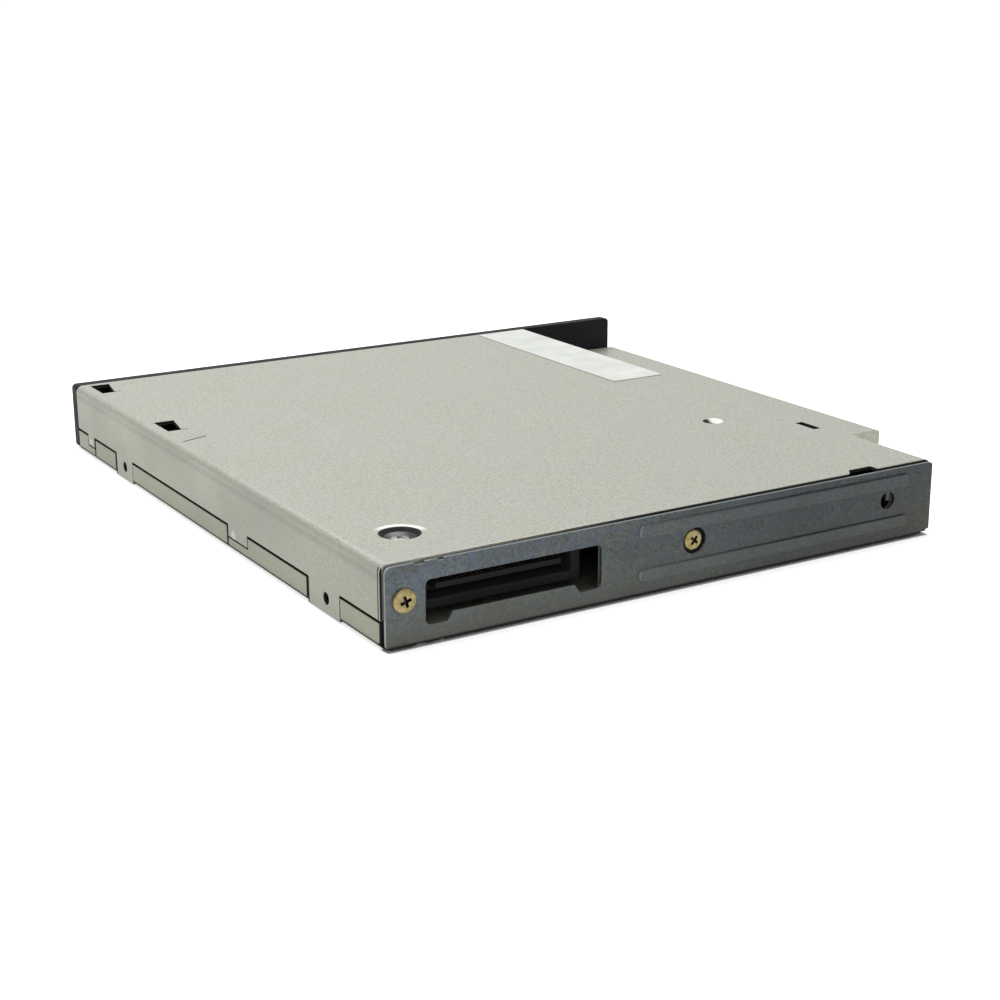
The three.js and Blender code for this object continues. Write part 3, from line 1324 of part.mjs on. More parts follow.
// Spring of round wire wound about Y, as one open coil between its two ends
function coilSpring(x, z, [y0, y1], radius, wire, coils) {
  class Winding extends THREE.Curve {
    getPoint(t, target = new THREE.Vector3()) {
      const angle = 2 * Math.PI * coils * t;
      return target.set(x + radius * Math.cos(angle), y0 + (y1 - y0) * t, z + radius * Math.sin(angle));
    }
  }
  const section = new THREE.Shape();
  section.absarc(0, 0, wire, 0, 2 * Math.PI);
  const options = { steps: coils * 8, bevelEnabled: false, extrudePath: new Winding(), curveSegments: 3 };
  return toSolid(new THREE.ExtrudeGeometry(section, options));
}

function buildEjectRod() {
  const x = fromLeft(ejectHousingInset + ejectHousingWidth / 2);
  const foot = trayTop + seam;
  const z = foot + ejectHousingHeight / 2;
  const [near, far] = along(ejectHousingPlace, ejectHousingLength);
  const housing = cut(
    box(across(ejectHousingInset, ejectHousingWidth), [near, far], [foot, foot + ejectHousingHeight]),
    rodAlongY(x, z, [near - overrun, far - ejectBoreWall], ejectBoreRadius, 20),
    rodAlongY(x, z, [near - overrun, far + overrun], ejectRodRadius + seam, 14),
  );
  addPart(drive, 'eject_housing', housing, greyPlastic);

  const collarStart = near + ejectCollarPlace;
  const rodEnd = far - ejectBoreWall + seam;
  const rod = join(
    rodAlongY(x, z, [rearY + sheet + ejectTipGap, rodEnd], ejectRodRadius, 14),
    rodAlongY(x, z, [collarStart, collarStart + ejectCollarLength], ejectBoreRadius - seam, 18),
  );
  addPart(drive, 'eject_plunger', rod, greyPlastic);
  const springSpan = [collarStart + ejectCollarLength + 2 * seam, far - ejectBoreWall - 2 * seam];
  addPart(drive, 'eject_spring',
    coilSpring(x, z, springSpan, ejectSpringRadius, ejectSpringWire, ejectSpringCoils), springSteel);
}

function buildMainBoard() {
  const left = leftX + boardInset;
  const right = deepRightX - boardInset;
  const screwX = fromLeft(bigDimpleInset);
  const screwY = fromRear(bigDimplePlace);
  const boardLevels = [boardFoot, boardTop];
  const board = cut(
    box([left, right], [boardRearPlace, boardFrontPlace].map(fromRear), boardLevels),
    rodAlongZ(screwX, screwY, past(boardLevels), screwHoleRadius, 18),
  );
  addPart(drive, 'main_board', board, boardGreen);

  const chipTop = boardFoot - boardFootClearance;
  const connectorEnd = connectorInset + connectorWidth;
  const chipRoom = deepWidth - boardInset - connectorEnd;
  const chips = [
    ['controller_chip', controllerInsetShare, controllerPlace, controllerSize, controllerSize],
    ['driver_chip', driverInsetShare, driverPlace, driverWidth, driverLength],
    ['memory_chip', memoryInsetShare, memoryPlace, memoryWidth, memoryLength],
  ];
  for (const [name, share, place, width, length] of chips) {
    const inset = connectorEnd + chipRoom * share;
    const chip = box(across(inset, width), along(place, length), [chipTop - chipHeight, chipTop]);
    addPart(drive, name, chip, chipBlack);
  }

  const mouthY = fromRear(connectorPlace);
  const ends = across(connectorInset, connectorWidth);
  const mouthLevels = [connectorMouthFoot, connectorMouthTop];
  const mouthSpan = [mouthY - overrun, mouthY + connectorMouthDepth];
  const shell = cut(
    box(ends, [mouthY, mouthY + connectorLength], [connectorFoot, chipTop]),
    box(wider(ends, -connectorMouthInset), mouthSpan, mouthLevels),
  );
  addPart(drive, 'drive_connector', shell, blackPlastic);
  const bladeMiddle = (connectorMouthFoot + connectorMouthTop) / 2;
  const bladeSpan = wider([mouthY, mouthY + connectorMouthDepth], -seam);
  const blade = box(wider(ends, -contactBladeInset), bladeSpan, about(bladeMiddle, contactBladeHeight / 2));
  addPart(drive, 'connector_contacts', blade, gold);

  const filmTop = floorInner - insulatorGap;
  const keepOut = bigDimpleRadius + sheet + seam;
  const filmLevels = [filmTop - insulatorThickness, filmTop];
  const filmSpan = [leftX + insulatorInset, deepRightX - insulatorInset];
  const film = cut(
    box(filmSpan, along(insulatorPlace, insulatorLength), filmLevels),
    rodAlongZ(screwX, screwY, past(filmLevels), keepOut, 24),
  );
  addPart(drive, 'insulating_sheet', film, blackFilm);
}

function buildFlexCable() {
  const ends = across(flexInset, flexWidth);
  const socketEnds = wider(ends, socketSideMargin);
  const boardSocketSpan = along(boardSocketPlace, boardSocketLength);
  const traySocketSpan = along(traySocketPlace, traySocketLength);
  const boardSocketFoot = boardTop + socketGap;
  const traySocketFoot = coverPlateFoot + coverPlate + socketGap;
  const boardSocket = box(socketEnds, boardSocketSpan, [boardSocketFoot, boardSocketFoot + socketHeight]);
  const traySocket = box(socketEnds, traySocketSpan, [traySocketFoot, traySocketFoot + socketHeight]);
  addPart(drive, 'board_flex_socket', boardSocket, socketIvory);
  addPart(drive, 'tray_flex_socket', traySocket, socketIvory);

  const half = flexThickness / 2;
  const foldRadius = (flexUpperHeight - flexLowerHeight) / 2;
  const middle = (flexUpperHeight + flexLowerHeight) / 2;
  const foldY = frontY - flexFoldSetback;
  const boardEnd = boardSocketSpan[1] + seam;
  const trayEnd = traySocketSpan[1] + seam;
  const ribbon = new THREE.Shape();
  ribbon.moveTo(boardEnd, flexUpperHeight - half);
  ribbon.lineTo(foldY, flexUpperHeight - half);
  ribbon.absarc(foldY, middle, foldRadius - half, Math.PI / 2, -Math.PI / 2, true);
  ribbon.lineTo(trayEnd, flexLowerHeight + half);
  ribbon.lineTo(trayEnd, flexLowerHeight - half);
  ribbon.lineTo(foldY, flexLowerHeight - half);
  ribbon.absarc(foldY, middle, foldRadius + half, -Math.PI / 2, Math.PI / 2, false);
  ribbon.lineTo(boardEnd, flexUpperHeight + half);
  addPart(drive, 'flex_cable', drawAlongX(ribbon, ends), ribbonWhite);
}

function buildLabel() {
  const right = deepRightX - labelEdgeInset;
  const front = frontY - labelFrontSetback;
  const foot = caseHeight + labelGap;
  addPart(drive, 'blank_label',
    box([right - labelWidth, right], [front - labelLength, front], [foot, foot + labelThickness]), paper);
}

buildChassis();
buildTopCover();
buildRearBracket();
buildScrews();
buildBezel();
buildTray();
buildRunners();
buildMechanismCover();
buildTraverseFrame();
buildDampers();
buildSpindle();
buildSledDrive();
buildPickup();
buildLatch();
buildEjectRod();
buildMainBoard();
buildFlexCable();
buildLabel();

export default drive;
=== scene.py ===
# %% [markdown]
# # A slim disc drive, dressed for the camera
# The drive lies upside-down, so its broad steel underside faces up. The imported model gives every
# piece its place and size. This script adds what the eye looks for: soft edges, sheet-steel grain,
# moulded plastic, cross-head screws, wound wire, contacts and a ribbon cable.
# All lengths are in metres, and a few driving sizes are measured from the frame itself.

import json
import math

import bmesh
import bpy
from mathutils import Matrix, Vector

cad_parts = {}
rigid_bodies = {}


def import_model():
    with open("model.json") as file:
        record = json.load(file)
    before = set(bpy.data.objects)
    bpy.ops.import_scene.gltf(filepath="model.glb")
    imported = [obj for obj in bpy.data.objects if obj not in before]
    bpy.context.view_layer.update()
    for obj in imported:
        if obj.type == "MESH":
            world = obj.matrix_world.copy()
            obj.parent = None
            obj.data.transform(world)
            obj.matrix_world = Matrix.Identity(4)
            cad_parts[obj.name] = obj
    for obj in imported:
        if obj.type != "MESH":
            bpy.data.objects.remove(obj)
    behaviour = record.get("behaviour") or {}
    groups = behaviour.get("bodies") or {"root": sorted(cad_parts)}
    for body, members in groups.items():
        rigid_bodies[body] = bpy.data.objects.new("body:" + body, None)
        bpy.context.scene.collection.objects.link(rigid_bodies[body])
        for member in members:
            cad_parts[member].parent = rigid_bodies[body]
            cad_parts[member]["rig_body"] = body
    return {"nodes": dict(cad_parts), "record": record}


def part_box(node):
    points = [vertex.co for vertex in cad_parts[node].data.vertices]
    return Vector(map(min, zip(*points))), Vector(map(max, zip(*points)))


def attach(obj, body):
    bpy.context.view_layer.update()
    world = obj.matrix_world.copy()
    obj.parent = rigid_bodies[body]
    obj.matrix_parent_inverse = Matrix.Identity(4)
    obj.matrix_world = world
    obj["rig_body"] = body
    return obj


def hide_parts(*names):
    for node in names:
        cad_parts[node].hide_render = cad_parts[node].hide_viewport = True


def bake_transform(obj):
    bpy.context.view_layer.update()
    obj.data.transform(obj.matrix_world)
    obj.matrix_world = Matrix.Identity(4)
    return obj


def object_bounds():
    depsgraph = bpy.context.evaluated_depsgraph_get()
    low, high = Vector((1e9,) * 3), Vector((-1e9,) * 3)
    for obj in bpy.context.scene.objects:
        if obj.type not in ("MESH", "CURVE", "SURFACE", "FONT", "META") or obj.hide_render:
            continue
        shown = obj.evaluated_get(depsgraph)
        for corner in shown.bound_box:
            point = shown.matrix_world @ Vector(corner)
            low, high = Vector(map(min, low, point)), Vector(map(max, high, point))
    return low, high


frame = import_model()
nodes = frame["nodes"]
cad_low, cad_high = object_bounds()
MM = 0.001
case_low, case_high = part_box("bottom_chassis")
rear_left = Vector((case_low.x, case_low.y, 0))
bracket_low, bracket_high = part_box("rear_bracket")
print("the case measures", [round(v / MM, 2) for v in case_high - case_low], "mm")


# %% [markdown]
# ## Camera
# The photograph looks down at the rear left corner. The camera is placed from that corner, so that
# it follows the case if the case changes size.

# %% Place the camera
CAMERA_FROM_CORNER = Vector((-112.03, -216.49, 96.21)) * MM
TARGET_FROM_CORNER = Vector((41.370, 35.601, 6.35)) * MM
CAMERA_ROLL = math.radians(-0.216)
LENS = 66.4
SENSOR = 36

camera_data = bpy.data.cameras.new("camera")
camera_data.lens = LENS
camera_data.sensor_width = SENSOR
camera_data.clip_start = 0.01
camera_data.clip_end = 20
camera = bpy.data.objects.new("camera", camera_data)
bpy.context.scene.collection.objects.link(camera)
camera.location = rear_left + CAMERA_FROM_CORNER
look = rear_left + TARGET_FROM_CORNER - camera.location
aim = look.to_track_quat("-Z", "Y").to_matrix().to_4x4()
camera.rotation_euler = (aim @ Matrix.Rotation(CAMERA_ROLL, 4, "Z")).to_euler()
bpy.context.scene.camera = camera
print("the camera stands", round(look.length / MM, 1), "mm from its target")


# %% [markdown]
# ## A small tool for building node trees
# Shader trees and Geometry Nodes trees are both lists of nodes joined by links. One class adds a node
# and fills its inputs: a plain value is stored, and another node's output is linked.

# %% Define the tree helper
class Tree:
    """A node tree that is built one step at a time."""

    def __init__(self, tree):
        self.tree = tree

    def fill(self, node, inputs):
        """Fills a node's inputs. The keys are socket names or numbers, and a list gives several links."""
        for key, value in inputs.items():
            for part in value if isinstance(value, list) else [value]:
                if isinstance(part, bpy.types.NodeSocket):
                    self.tree.links.new(part, node.inputs[key])
                else:
                    node.inputs[key].default_value = part
        return node

    def add(self, kind, inputs=None, **settings):
        node = self.tree.nodes.new(kind)
        for name, value in settings.items():
            setattr(node, name, value)
        return self.fill(node, inputs or {})

    def step(self, kind, inputs=None, **settings):
        """Adds a node and gives its first output."""
        return self.add(kind, inputs, **settings).outputs[0]

    def math(self, operation, first, *others):
        """Works through any number of values with one operation."""
        for other in others:
            first = self.step("ShaderNodeMath", {0: first, 1: other}, operation=operation)
        return first

    def vector_math(self, operation, first, other):
        return self.step("ShaderNodeVectorMath", {0: first, 1: other}, operation=operation)

    def split(self, place):
        """The X, Y and Z of a place."""
        return self.add("ShaderNodeSeparateXYZ", {0: place}).outputs


def skills(kind):
    """The names of what a helper can do."""
    return ", ".join(name for name in vars(kind) if not name.startswith("_"))


print("a tree can", skills(Tree))


# %% [markdown]
# ## Floor and light
# A white table would need a bright lamp to look white, and that would wash out the steel. Instead the
# world and the floor show plain white only to rays that come straight from the camera, or by way of a
# reflection or a clear piece. The floor keeps the shadow that the drive throws on it. Under the foot of
# the rear bracket, whose notches would show it, the floor doesn't glow: a painted shadow. It is seen from
# above only, so that a view from below shows the drive and not the floor's back. It lies a little to one
# side, to keep the seam between its two triangles away from the drive.

# %% Lay the floor and hang the lamps
FLOOR_SIZE = 14.0
FLOOR_SHIFT = 0.6
FLOOR_SINK = 0.0003
FLOOR_COLOUR = (0.93, 0.93, 0.93, 1)
FLOOR_GLOW = 0.62
WORLD_LEVEL = 0.42
PAINTED_SHADOW_STRIP = 3 * MM
STRIP_MARGIN = 0.4 * MM


def seen_directly(tree):
    """A factor that is 1 for rays from the camera, from a reflection or through a clear piece."""
    path = tree.add("ShaderNodeLightPath").outputs
    return tree.math("MAXIMUM", path["Is Camera Ray"], path["Is Glossy Ray"],
                     path["Is Transmission Ray"])


def white_world():
    world = bpy.data.worlds.new("soft_white")
    world.use_nodes = True
    tree = Tree(world.node_tree)
    levels = {"Value": seen_directly(tree), "To Min": WORLD_LEVEL, "To Max": 1.0}
    level = tree.step("ShaderNodeMapRange", levels)
    tree.fill(world.node_tree.nodes["Background"], {"Color": (1, 1, 1, 1), "Strength": level})
    return world


def outside_painted_foot_shadow(tree):
    """A factor that is 0 on the floor under the foot of the rear bracket, for a painted shadow, and 1
    beyond it.
    """
    low, high = Vector(cad_low), Vector((bracket_high.x, cad_low.y + PAINTED_SHADOW_STRIP, cad_high.z))
    middle = (low + high) / 2
    half = (high - low) / 2 - Vector((STRIP_MARGIN, STRIP_MARGIN, 0))
    share = tree.add("ShaderNodeTexCoord").outputs["Object"]
    for operation, other in (("SUBTRACT", middle), ("ABSOLUTE", middle), ("DIVIDE", half)):
        share = tree.vector_math(operation, share, other)
    axes = tree.split(share)
    return tree.math("GREATER_THAN", tree.math("MAXIMUM", axes["X"], axes["Y"]), 1.0)


def pale_floor():
    mesh = bpy.data.meshes.new("floor")
    half = FLOOR_SIZE / 2
    corners = [(FLOOR_SHIFT + x * half, y * half, -FLOOR_SINK)
               for x, y in ((-1, -1), (1, -1), (1, 1), (-1, 1))]
    mesh.from_pydata(corners, [], [(0, 1, 2, 3)])
    material = bpy.data.materials.new("pale_table")
    material.use_nodes = True
    tree = Tree(material.node_tree)
    shader = material.node_tree.nodes["Principled BSDF"]
    tree.fill(shader, {"Base Color": FLOOR_COLOUR, "Roughness": 0.9, "Specular IOR Level": 0.0})
    matt = shader.outputs[0]
    # Painted shadow: the floor's glow stops under the foot of the rear bracket
    level = tree.math("MULTIPLY", outside_painted_foot_shadow(tree), FLOOR_GLOW)
    glow = tree.step("ShaderNodeEmission", {"Color": (1, 1, 1, 1), "Strength": level})
    lit = tree.step("ShaderNodeAddShader", {0: matt, 1: glow})
    seen = tree.step("ShaderNodeMixShader", {0: seen_directly(tree), 1: matt, 2: lit})
    clear = tree.step("ShaderNodeBsdfTransparent")
    below = tree.add("ShaderNodeNewGeometry").outputs["Backfacing"]
    final = tree.step("ShaderNodeMixShader", {0: below, 1: seen, 2: clear})
    tree.fill(material.node_tree.nodes["Material Output"], {"Surface": final})
    floor = bpy.data.objects.new("floor", mesh)
    mesh.materials.append(material)
    bpy.context.scene.collection.objects.link(floor)
    return floor


def soft_lamp(name, place, size, power):
    """A square area lamp that faces the middle of the drive."""
    data = bpy.data.lights.new(name, "AREA")
    data.size = size
    data.energy = power
    lamp = bpy.data.objects.new(name, data)
    lamp.location = place
    lamp.rotation_euler = (-Vector(place)).to_track_quat("-Z", "Y").to_euler()
    bpy.context.scene.collection.objects.link(lamp)
    return lamp


bpy.context.scene.world = white_world()
bpy.context.scene.view_settings.view_transform = "Standard"
pale_floor()
lamps = [
    soft_lamp("overhead_lamp", (-0.05, 0.25, 0.75), size=0.6, power=4.6),
    soft_lamp("rear_lamp", (-0.45, -0.9, 0.45), size=0.5, power=0.6),
]
print("lit by the world and", len(lamps), "soft lamps")


# %% [markdown]
# ## Finishes
# Every finish is a small node tree on Object coordinates, so that a pattern stays put when its piece
# moves. Noise at the scale of the real grain varies the colour and the roughness, and a shallow bump
# breaks up the highlights. This class builds on the tree helper and keeps each finish down to a few
# plain lines.

# %% Define the finish helper
# The width over which the edge of a mark fades
SOFT = 0.1 * MM


class Finish(Tree):
    """A material that is built around the Principled shader."""

    def __init__(self, name, metallic=0.0, specular=0.5):
        self.material = bpy.data.materials.new(name)
        self.material.use_nodes = True
        super().__init__(self.material.node_tree)
        self.shader = self.tree.nodes["Principled BSDF"]
        self.fill(self.shader, {"Metallic": metallic, "Specular IOR Level": specular})
        self.place = self.add("ShaderNodeTexCoord").outputs["Object"]

    def noise(self, size, detail=2.0, stretch=(1, 1, 1)):
        """Soft noise with grains of that size."""
        stretched = self.step("ShaderNodeMapping", {"Vector": self.place, "Scale": stretch})
        inputs = {"Vector": stretched, "Scale": 1 / size, "Detail": detail}
        return self.step("ShaderNodeTexNoise", inputs)

    def cells(self, size):
        """Small cells of that size, as in moulded grain."""
        return self.step("ShaderNodeTexVoronoi", {"Vector": self.place, "Scale": 1 / size})

    def level(self, factor, low, high, start=0.0, end=1.0):
        """Runs from low to high while the factor runs from start to end."""
        inputs = {"Value": factor, "From Min": start, "From Max": end, "To Min": low, "To Max": high}
        return self.step("ShaderNodeMapRange", inputs)

    def axes(self):
        """The place along X, Y and Z, in the frame's own metres."""
        return self.split(self.place)

    def below(self, value, limit, soft=SOFT):
        """A factor that is 1 below a limit and fades to 0 over a soft width."""
        return self.level(value, 1, 0, limit - soft / 2, limit + soft / 2)

    def above(self, value, limit, soft=SOFT):
        return self.level(value, 0, 1, limit - soft / 2, limit + soft / 2)

    def both(self, *factors):
        """Where every factor is 1."""
        return self.math("MULTIPLY", *factors)

    def either(self, *factors):
        """Where any factor is 1."""
        return self.math("MAXIMUM", *factors)

    def between(self, value, low, high, soft=SOFT):
        return self.both(self.above(value, low, soft), self.below(value, high, soft))

    def arm(self, point):
        """The way from a point to the place on the surface."""
        return self.vector_math("SUBTRACT", self.place, point)

    def away(self, point):
        """The distance from an upright line through a point."""
        flat = self.vector_math("MULTIPLY", self.arm((point.x, point.y, 0)), (1, 1, 0))
        return self.add("ShaderNodeVectorMath", {0: flat}, operation="LENGTH").outputs["Value"]

    def blend(self, factor, first, second):
        """A colour between two others. Either can be a plain colour or another step's output."""
        inputs = {0: factor, 6: self.colour(first), 7: self.colour(second)}
        return self.add("ShaderNodeMix", inputs, data_type="RGBA").outputs[2]

    @staticmethod
    def colour(value):
        return value if isinstance(value, bpy.types.NodeSocket) else (*value, 1.0)

    def finish(self, colour, roughness, height, depth):
        """Gives the shader its colour, its roughness and a bump of that depth."""
        bump = self.step("ShaderNodeBump", {"Height": height, "Distance": depth, "Strength": 1.0})
        self.fill(self.shader, {"Base Color": colour, "Roughness": roughness, "Normal": bump})
        return self.material


print("a finish can also", skills(Finish))


# %% [markdown]
# Sheet steel is the face of this object. The real sheet is zinc coated: a warm grey with a fine
# salt-and-pepper grain that leans yellow here and blue there, faint clouds where the coating varies,
# and a hint of the rolling direction. The colour steps are kept apart from the final step, so that a
# piece with its own marks can add them in between.

# %% Make the sheet-steel finish
STEEL_PALE = (0.485, 0.487, 0.340)
STEEL_DARK = (0.310, 0.315, 0.225)
STEEL_BLUE = (0.395, 0.408, 0.425)
STEEL = (STEEL_PALE, STEEL_DARK, STEEL_BLUE)
STEEL_METALLIC = 0.4
GRAIN_SIZE = 0.45 * MM
TINT_SIZE = 0.75 * MM
CLOUD_SIZE = 14 * MM
ROLLED_SIZE = 0.5 * MM
ROLLED_STRETCH = (1, 0.02, 1)
GRAIN_DEPTH = 0.012 * MM


def sheet_tone(made, pale, dark, blue, streaks=0.25):
    """The colour of coated sheet, and its grain and clouds for the steps that follow."""
    grain = made.noise(GRAIN_SIZE, 2)
    tint = made.noise(TINT_SIZE, 1)
    cloud = made.noise(CLOUD_SIZE, 2)
    rolled = made.noise(ROLLED_SIZE, 2, ROLLED_STRETCH)
    fine = made.blend(made.level(grain, 0, 1, 0.38, 0.62), dark, pale)
    tinted = made.blend(made.level(tint, 0, 0.75, 0.38, 0.60), fine, blue)
    mottled = made.blend(made.level(cloud, 0, 0.3, 0.4, 0.75), tinted, blue)
    darker = tuple(c * 0.8 for c in pale)
    lined = made.blend(made.level(rolled, 0, streaks, 0.55, 0.8), mottled, darker)
    return lined, grain, cloud


def sheet_metal(name, tones, roughness, metallic):
    made = Finish(name, metallic)
    tone, grain, cloud = sheet_tone(made, *tones)
    gloss = made.level(cloud, roughness - 0.05, roughness + 0.08, 0.3, 0.7)
    return made.finish(tone, gloss, grain, GRAIN_DEPTH)


bright_steel = sheet_metal("zinc_sheet", STEEL, 0.5, STEEL_METALLIC)
print("bright sheet with grains of", GRAIN_SIZE / MM, "mm")


# %% [markdown]
# The chassis has marks of its own, and most are painted shade. Its side wall is painted darker than the
# broad face, and a painted shade line runs along the fold between them. The holes, the notch, the strip
# behind the bracket, the seams beside the flaps and the slits are painted dark, as painted shade where
# shadow falls. Painted shade strips beside the gaps at the ends of the side flaps make them look wider.
# Each mark is a plain factor of the place, in the same metres as the frame, so it stays sharp at any
# distance and needs no picture.

# %% Paint shade on the wall and into the holes and gaps
def from_left(mm):
    """A place along X, measured from the left side of the case."""
    return case_low.x + mm * MM


def from_rear(mm):
    return case_low.y + mm * MM


def from_top(mm):
    return case_high.z + mm * MM


SHEET = 0.6 * MM
FLAP_LEVEL = 4.3 * MM
# Each gap's place from the rear and its half width, in mm
FLAP_GAPS = ((23.7, 0.5), (54.0, 0.35), (106.3, 0.45), (117.9, 0.35))
CORNER_SLIT = (from_rear(0.55), from_rear(0.85))
REAR_NOTCH = (from_left(86.0), from_left(92.6))
REAR_NOTCH_END = from_rear(2.0)
BEHIND_FADE = (-0.055, -0.02)
# Painted shade of the side wall and of the fold
WALL_PAINTED_SHADE = (0.26, 0.265, 0.195)
FOLD_PAINTED_SHADE = (0.20, 0.20, 0.17)
# The near-black colour of painted shade in holes, gaps, dimples and along the feet
PAINTED_SHADE_TONE = (0.018, 0.018, 0.020)
DULL = 0.95


def painted_wall_and_fold_shade(made, tone):
    """Painted shade: the side wall darker than the broad face, and a shade line along the fold above it.
    """
    x, _, z = made.axes()
    wall = made.below(x, from_left(0.3), 0.5 * MM)
    fold = made.both(made.below(x, from_left(0.5)),
                     made.above(z, from_top(-2.4), 0.9 * MM),
                     made.below(z, from_top(-1.5), 0.5 * MM))
    tone = made.blend(made.level(wall, 0, 0.45), tone, WALL_PAINTED_SHADE)
    return made.blend(made.level(fold, 0, 0.4), tone, FOLD_PAINTED_SHADE)


def gap_shadows(made, y, z):
    """Painted shade in strips beside the gaps at the ends of the side flaps."""
    strips = (made.between(y, from_rear(at - half), from_rear(at + half)) for at, half in FLAP_GAPS)
    return made.both(made.either(*strips), made.below(z, FLAP_LEVEL))


def painted_gap_shade(made):
    """Painted shade where shadow falls: in the holes, the notch, behind the bracket, the seams and the
    slits.
    """
    x, y, z = made.axes()
    outside = made.below(x, from_left(0.3))
    in_holes = made.both(made.above(x, from_left(1.6)), made.above(y, from_rear(0.7)),
                         made.between(z, from_top(0.04) - SHEET, from_top(-0.08), 0.04 * MM))
    in_notch = made.both(made.below(y, REAR_NOTCH_END), made.between(x, *REAR_NOTCH),
                         made.below(z, from_top(-0.06), 0.04 * MM))
    behind = made.both(made.below(y, from_rear(0.16), 0.12 * MM),
                       made.above(x, bracket_low.x + 0.3 * MM),
                       made.level(x, 0.35, 1, *BEHIND_FADE))
    by_flaps = made.both(made.below(z, FLAP_LEVEL + 0.1 * MM),
                         made.between(x, from_left(0.12), from_left(0.7)))
    slit = made.either(made.below(y, from_rear(0.2)), made.between(y, *CORNER_SLIT))
    slits = made.both(slit, outside, made.between(z, FLAP_LEVEL, from_top(-0.5)))
    return made.either(in_holes, in_notch, behind, by_flaps, slits,
                       made.both(outside, gap_shadows(made, y, z)))


def sheet_gloss(made, cloud, dark):
    """The clouds vary the gloss, and dark places are dull."""
    return made.either(made.level(cloud, 0.43, 0.56, 0.3, 0.7), made.level(dark, 0, DULL))


print(len(FLAP_GAPS), "gaps beside the flaps")


# %% [markdown]
# The large dimple gets painted shade on its wall and a painted highlight, a crescent on the far side of
# its rim. The small dimple has painted shade on one side and a painted highlight on the other. A short
# score mark lies beside the left edge. Each is its own function, which takes the colour so far and gives
# it back with the mark on it.

# %% Mark the score and the two dimples
SCORE_START = rear_left + Vector((2.0, 76.7, 0)) * MM
SCORE_ANGLE = math.radians(18)
SCORE_LENGTH = 5.2 * MM
SCORED = (0.10, 0.13, 0.15)
BIG_DIMPLE = rear_left + Vector((9.4, 11.4, 0)) * MM
BIG_DIMPLE_RADIUS = 3.3 * MM
SMALL_DIMPLE = rear_left + Vector((88.6, 39.2, 0)) * MM
SMALL_DIMPLE_RADIUS = 1.9 * MM
# Painted highlight: the way the crescent on the big dimple's rim faces, and the pale colour of the
# dimples' highlights
RIM_GLINT = Vector((0.52, 0.855, 0))
DIMPLE_PAINTED_HIGHLIGHT = (0.93, 0.93, 0.88)


def score_mark(made, tone):
    inputs = {"Vector": made.arm(SCORE_START), "Rotation": (0, 0, -SCORE_ANGLE)}
    along = made.split(made.step("ShaderNodeMapping", inputs))
    score = made.both(made.between(along["Y"], -0.25 * MM, 0.25 * MM),
                      made.between(along["X"], 0.0, SCORE_LENGTH),
                      made.above(made.axes()["Z"], from_top(-0.3)))
    return made.blend(made.level(score, 0, 0.7), tone, SCORED)


def big_dimple(made, tone):
    radius, away = BIG_DIMPLE_RADIUS, made.away(BIG_DIMPLE)
    beside = made.math("ABSOLUTE", made.math("SUBTRACT", made.axes()["X"], BIG_DIMPLE.x), 0.0)
    cone = made.between(away, 0.45 * radius, radius - 0.05 * MM)
    shade = made.level(beside, 0.5, 1.0, 0.1 * radius, 0.6 * radius)
    # Painted shade on the wall of the cone, darker to the sides
    tone = made.blend(made.both(cone, shade), tone, PAINTED_SHADE_TONE)
    inputs = {0: made.arm(BIG_DIMPLE), 1: RIM_GLINT}
    toward = made.add("ShaderNodeVectorMath", inputs, operation="DOT_PRODUCT").outputs["Value"]
    # Painted highlight on the far side of the rim
    rim = made.both(made.above(away, radius),
                    made.level(away, 1, 0, radius + 0.6 * MM, radius + 1.2 * MM),
                    made.level(toward, 0, 1, 1.0 * MM, 2.6 * MM))
    return made.blend(rim, tone, DIMPLE_PAINTED_HIGHLIGHT)


def small_dimple(made, tone):
    x, middle = made.axes()["X"], SMALL_DIMPLE.x
    cup = made.below(made.away(SMALL_DIMPLE), SMALL_DIMPLE_RADIUS - 0.05 * MM)
    # Painted highlight on one side of the cup, painted shade on the other
    bright_side = made.level(x, 0, 1, middle - 0.1 * MM, middle + 0.7 * MM)
    dark_side = made.level(x, 1, 0, middle - 0.7 * MM, middle + 0.2 * MM)
    tone = made.blend(made.both(cup, bright_side), tone, DIMPLE_PAINTED_HIGHLIGHT)
    return made.blend(made.both(cup, dark_side), tone, PAINTED_SHADE_TONE)


def chassis_finish():
    made = Finish("chassis_sheet", STEEL_METALLIC)
    tone, grain, cloud = sheet_tone(made, *STEEL)
    # Painted shade in the holes, the notch, the seams and the slits
    dark = painted_gap_shade(made)
    tone = made.blend(dark, painted_wall_and_fold_shade(made, tone), PAINTED_SHADE_TONE)
    for mark in (score_mark, big_dimple, small_dimple):
        tone = mark(made, tone)
    return made.finish(tone, sheet_gloss(made, cloud, dark), grain, GRAIN_DEPTH)


chassis_steel = chassis_finish()
print("the chassis finish has", len(chassis_steel.node_tree.nodes), "nodes")


# %% [markdown]
# The cover's flaps are seen beside the chassis wall. Painted shade makes them a little darker, and their
# lower edge is rolled under and painted dark, a painted shadow that draws a thin line along the foot of
# the drive.

# %% Make the finish of the cover
# Painted shade of the side flaps
FLAP_PAINTED_SHADE = (0.26, 0.265, 0.19)


